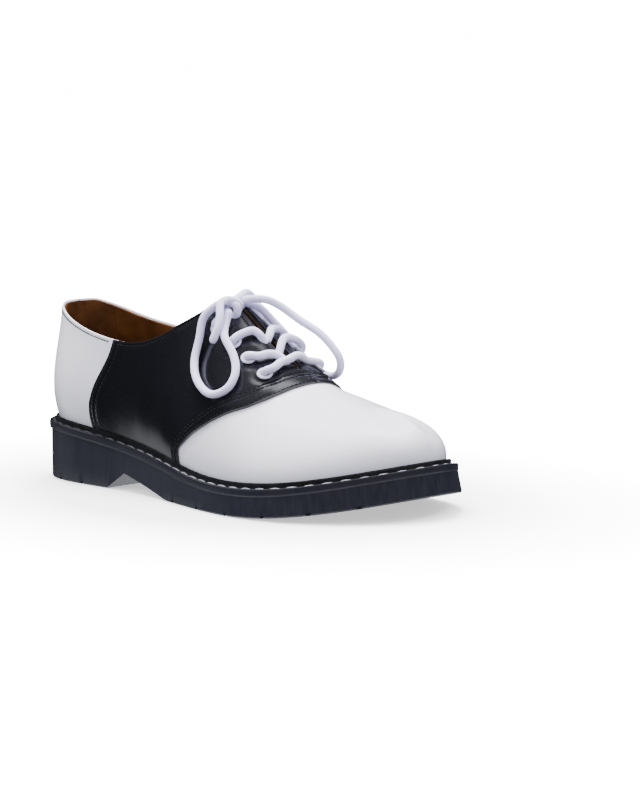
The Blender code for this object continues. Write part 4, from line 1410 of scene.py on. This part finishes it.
def makeWelt():
    turns = ringTurns(welt["columns"])
    grid = np.array([weltLine(turns, inset, height) for inset, height in welt["section"]])
    faces = gridFaces(len(turns), len(grid), True)
    piece = meshPiece("weltStrip", grid.transpose(1, 0, 2).reshape(-1, 3), faces, weltRubber)
    below = np.clip([-height / welt["edgeBand"] for inset, height in welt["section"]], 0, 1)
    pointValue(piece, "low", np.tile(below, len(turns)))
    addWeld(piece, welt["mergeDistance"])
    dress(facingOut(settled(piece, math.radians(40))), "black_welt", "welt")


# The row of stitches all round on the welt: its inset from the outline and its height over the welt.
weltRow = {
    "pitch": 0.0100,
    "inset": 0.0027,
    "height": -0.0003,
    "thread": {"Length": 0.0084, "Thread": 0.00095, "Crown": 0.00045, "Jitter": 0.05, "Seed": 9},
}


def makeWeltStitches():
    line = weltLine(ringTurns(2000), weltRow["inset"], weltRow["height"])
    lengths = travelled(line)
    count = int(round(lengths[-1] / weltRow["pitch"]))
    where = (np.arange(count) + 0.5) * lengths[-1] / count
    places = alongLine(where, lengths, line)
    alongs = alongLine(where + 0.002, lengths, line) - places
    upwards = np.tile((0.0, 0.0, 1.0), (count, 1))
    values = {**weltRow["thread"], "Material": weltThread}
    dress(nodePiece("weltStitches", stitchTree, places, upwards, alongs, values), "black_welt")


# A closed solid through rings that start at the heel, with ladder faces across its ends.
def ringSolid(name, rings, finish):
    count = len(rings[0])
    points = np.concatenate(rings)
    faces = []
    for r in range(len(rings) - 1):
        for i in range(count):
            j = (i + 1) % count
            faces.append((r * count + i, r * count + j, (r + 1) * count + j, (r + 1) * count + i))
    for base in (0, (len(rings) - 1) * count):
        for i in range(count // 2):
            corners = (i, i + 1, count - i - 1, (count - i) % count)
            faces.append(tuple(base + c for c in dict.fromkeys(corners)))
    return facingOut(meshPiece(name, points, faces, finish))


def prism(name, profile):
    half = ballWidth
    points = [(x, y, z) for y in (-half, half) for x, z in profile]
    count = len(profile)
    faces = [tuple(range(count)), tuple(range(count, 2 * count))]
    faces += [(i, (i + 1) % count, count + (i + 1) % count, count + i) for i in range(count)]
    return facingOut(meshPiece(name, points, faces, soleRubber))


# The edge rings have an inset past the ground's and a height. The insets change between two x shares.
sole = {
    "columns": 360,
    "groundInset": ((0.1, 1.0), (0.0007, -0.0018)),
    "topInset": ((0.25, 0.5), (0.0011, 0.0003)),
    "edgeRings": ((0.0010, 0.0), (0.0004, 0.0003), (0.0, 0.0010)),
    "sideShares": (0.35, 0.7, 0.96),
    "intoWelt": 0.0002,
    "arch": ((0.077, 0), (0.077, -0.01), (0.142, -0.01), (0.142, 0), (0.0945, 0.0102)),
    "grooves": (0.032, 0.054, 0.148, 0.176, 0.204, 0.232, 0.258, 0.280),
    "grooveHalf": 0.0012,
    "grooveDepth": 0.0015,
    "grooveBelow": -0.004,
}


def makeSole():
    turns = ringTurns(sole["columns"])
    shares = outlineShares(turns)[:, 0]
    groundInset = np.interp(shares, *sole["groundInset"])
    ground = soleHeight(outlineAt(turns, 0)[0][:, 0])
    rings = []
    for extra, height in sole["edgeRings"]:
        rings.append(np.column_stack([outlineAt(turns, groundInset + extra)[0], ground + height]))
    plan = outlineAt(turns, np.interp(shares, *sole["topInset"]))[0]
    top = np.column_stack([plan, weltHeight(plan[:, 0]) - weltThick + sole["intoWelt"]])
    rings += [rings[2] + (top - rings[2]) * share for share in sole["sideShares"]]
    rings.append(top)
    piece = ringSolid("soleUnit", rings, soleRubber)
    cutters = [prism("archCut", sole["arch"])]
    half, deep, below = sole["grooveHalf"], sole["grooveDepth"], sole["grooveBelow"]
    for x in sole["grooves"]:
        corners = []
        for offset, depth in ((-half, below), (half, below), (half, deep), (-half, deep)):
            corners.append((x + offset, float(soleHeight([x + offset])[0]) + depth))
        cutters.append(prism(f"grooveCut{x}", corners))
    for cutter in cutters:
        cut = piece.modifiers.new("cut", "BOOLEAN")
        cut.object = cutter
        cut.operation = "DIFFERENCE"
        cut.solver = "EXACT"
    settled(piece, math.radians(35))
    removePieces(cutters)
    dress(piece, "navy_rubber", "outsole")


# Rings of the sock lining: inset from the welt's outline and height over the welt.
insole = {
    "columns": 240,
    "rings": ((0.0096, 0.0003), (0.0096, 0.0030), (0.0101, 0.0036), (0.0112, 0.0038)),
}


def makeInsole():
    turns = ringTurns(insole["columns"])
    rings = [weltLine(turns, inset, height) for inset, height in insole["rings"]]
    dress(ringSolid("insoleSock", rings, liningLeather), "tan_leather", "insole")


makeWelt()
makeWeltStitches()
makeSole()
makeInsole()
print("stage: sole")
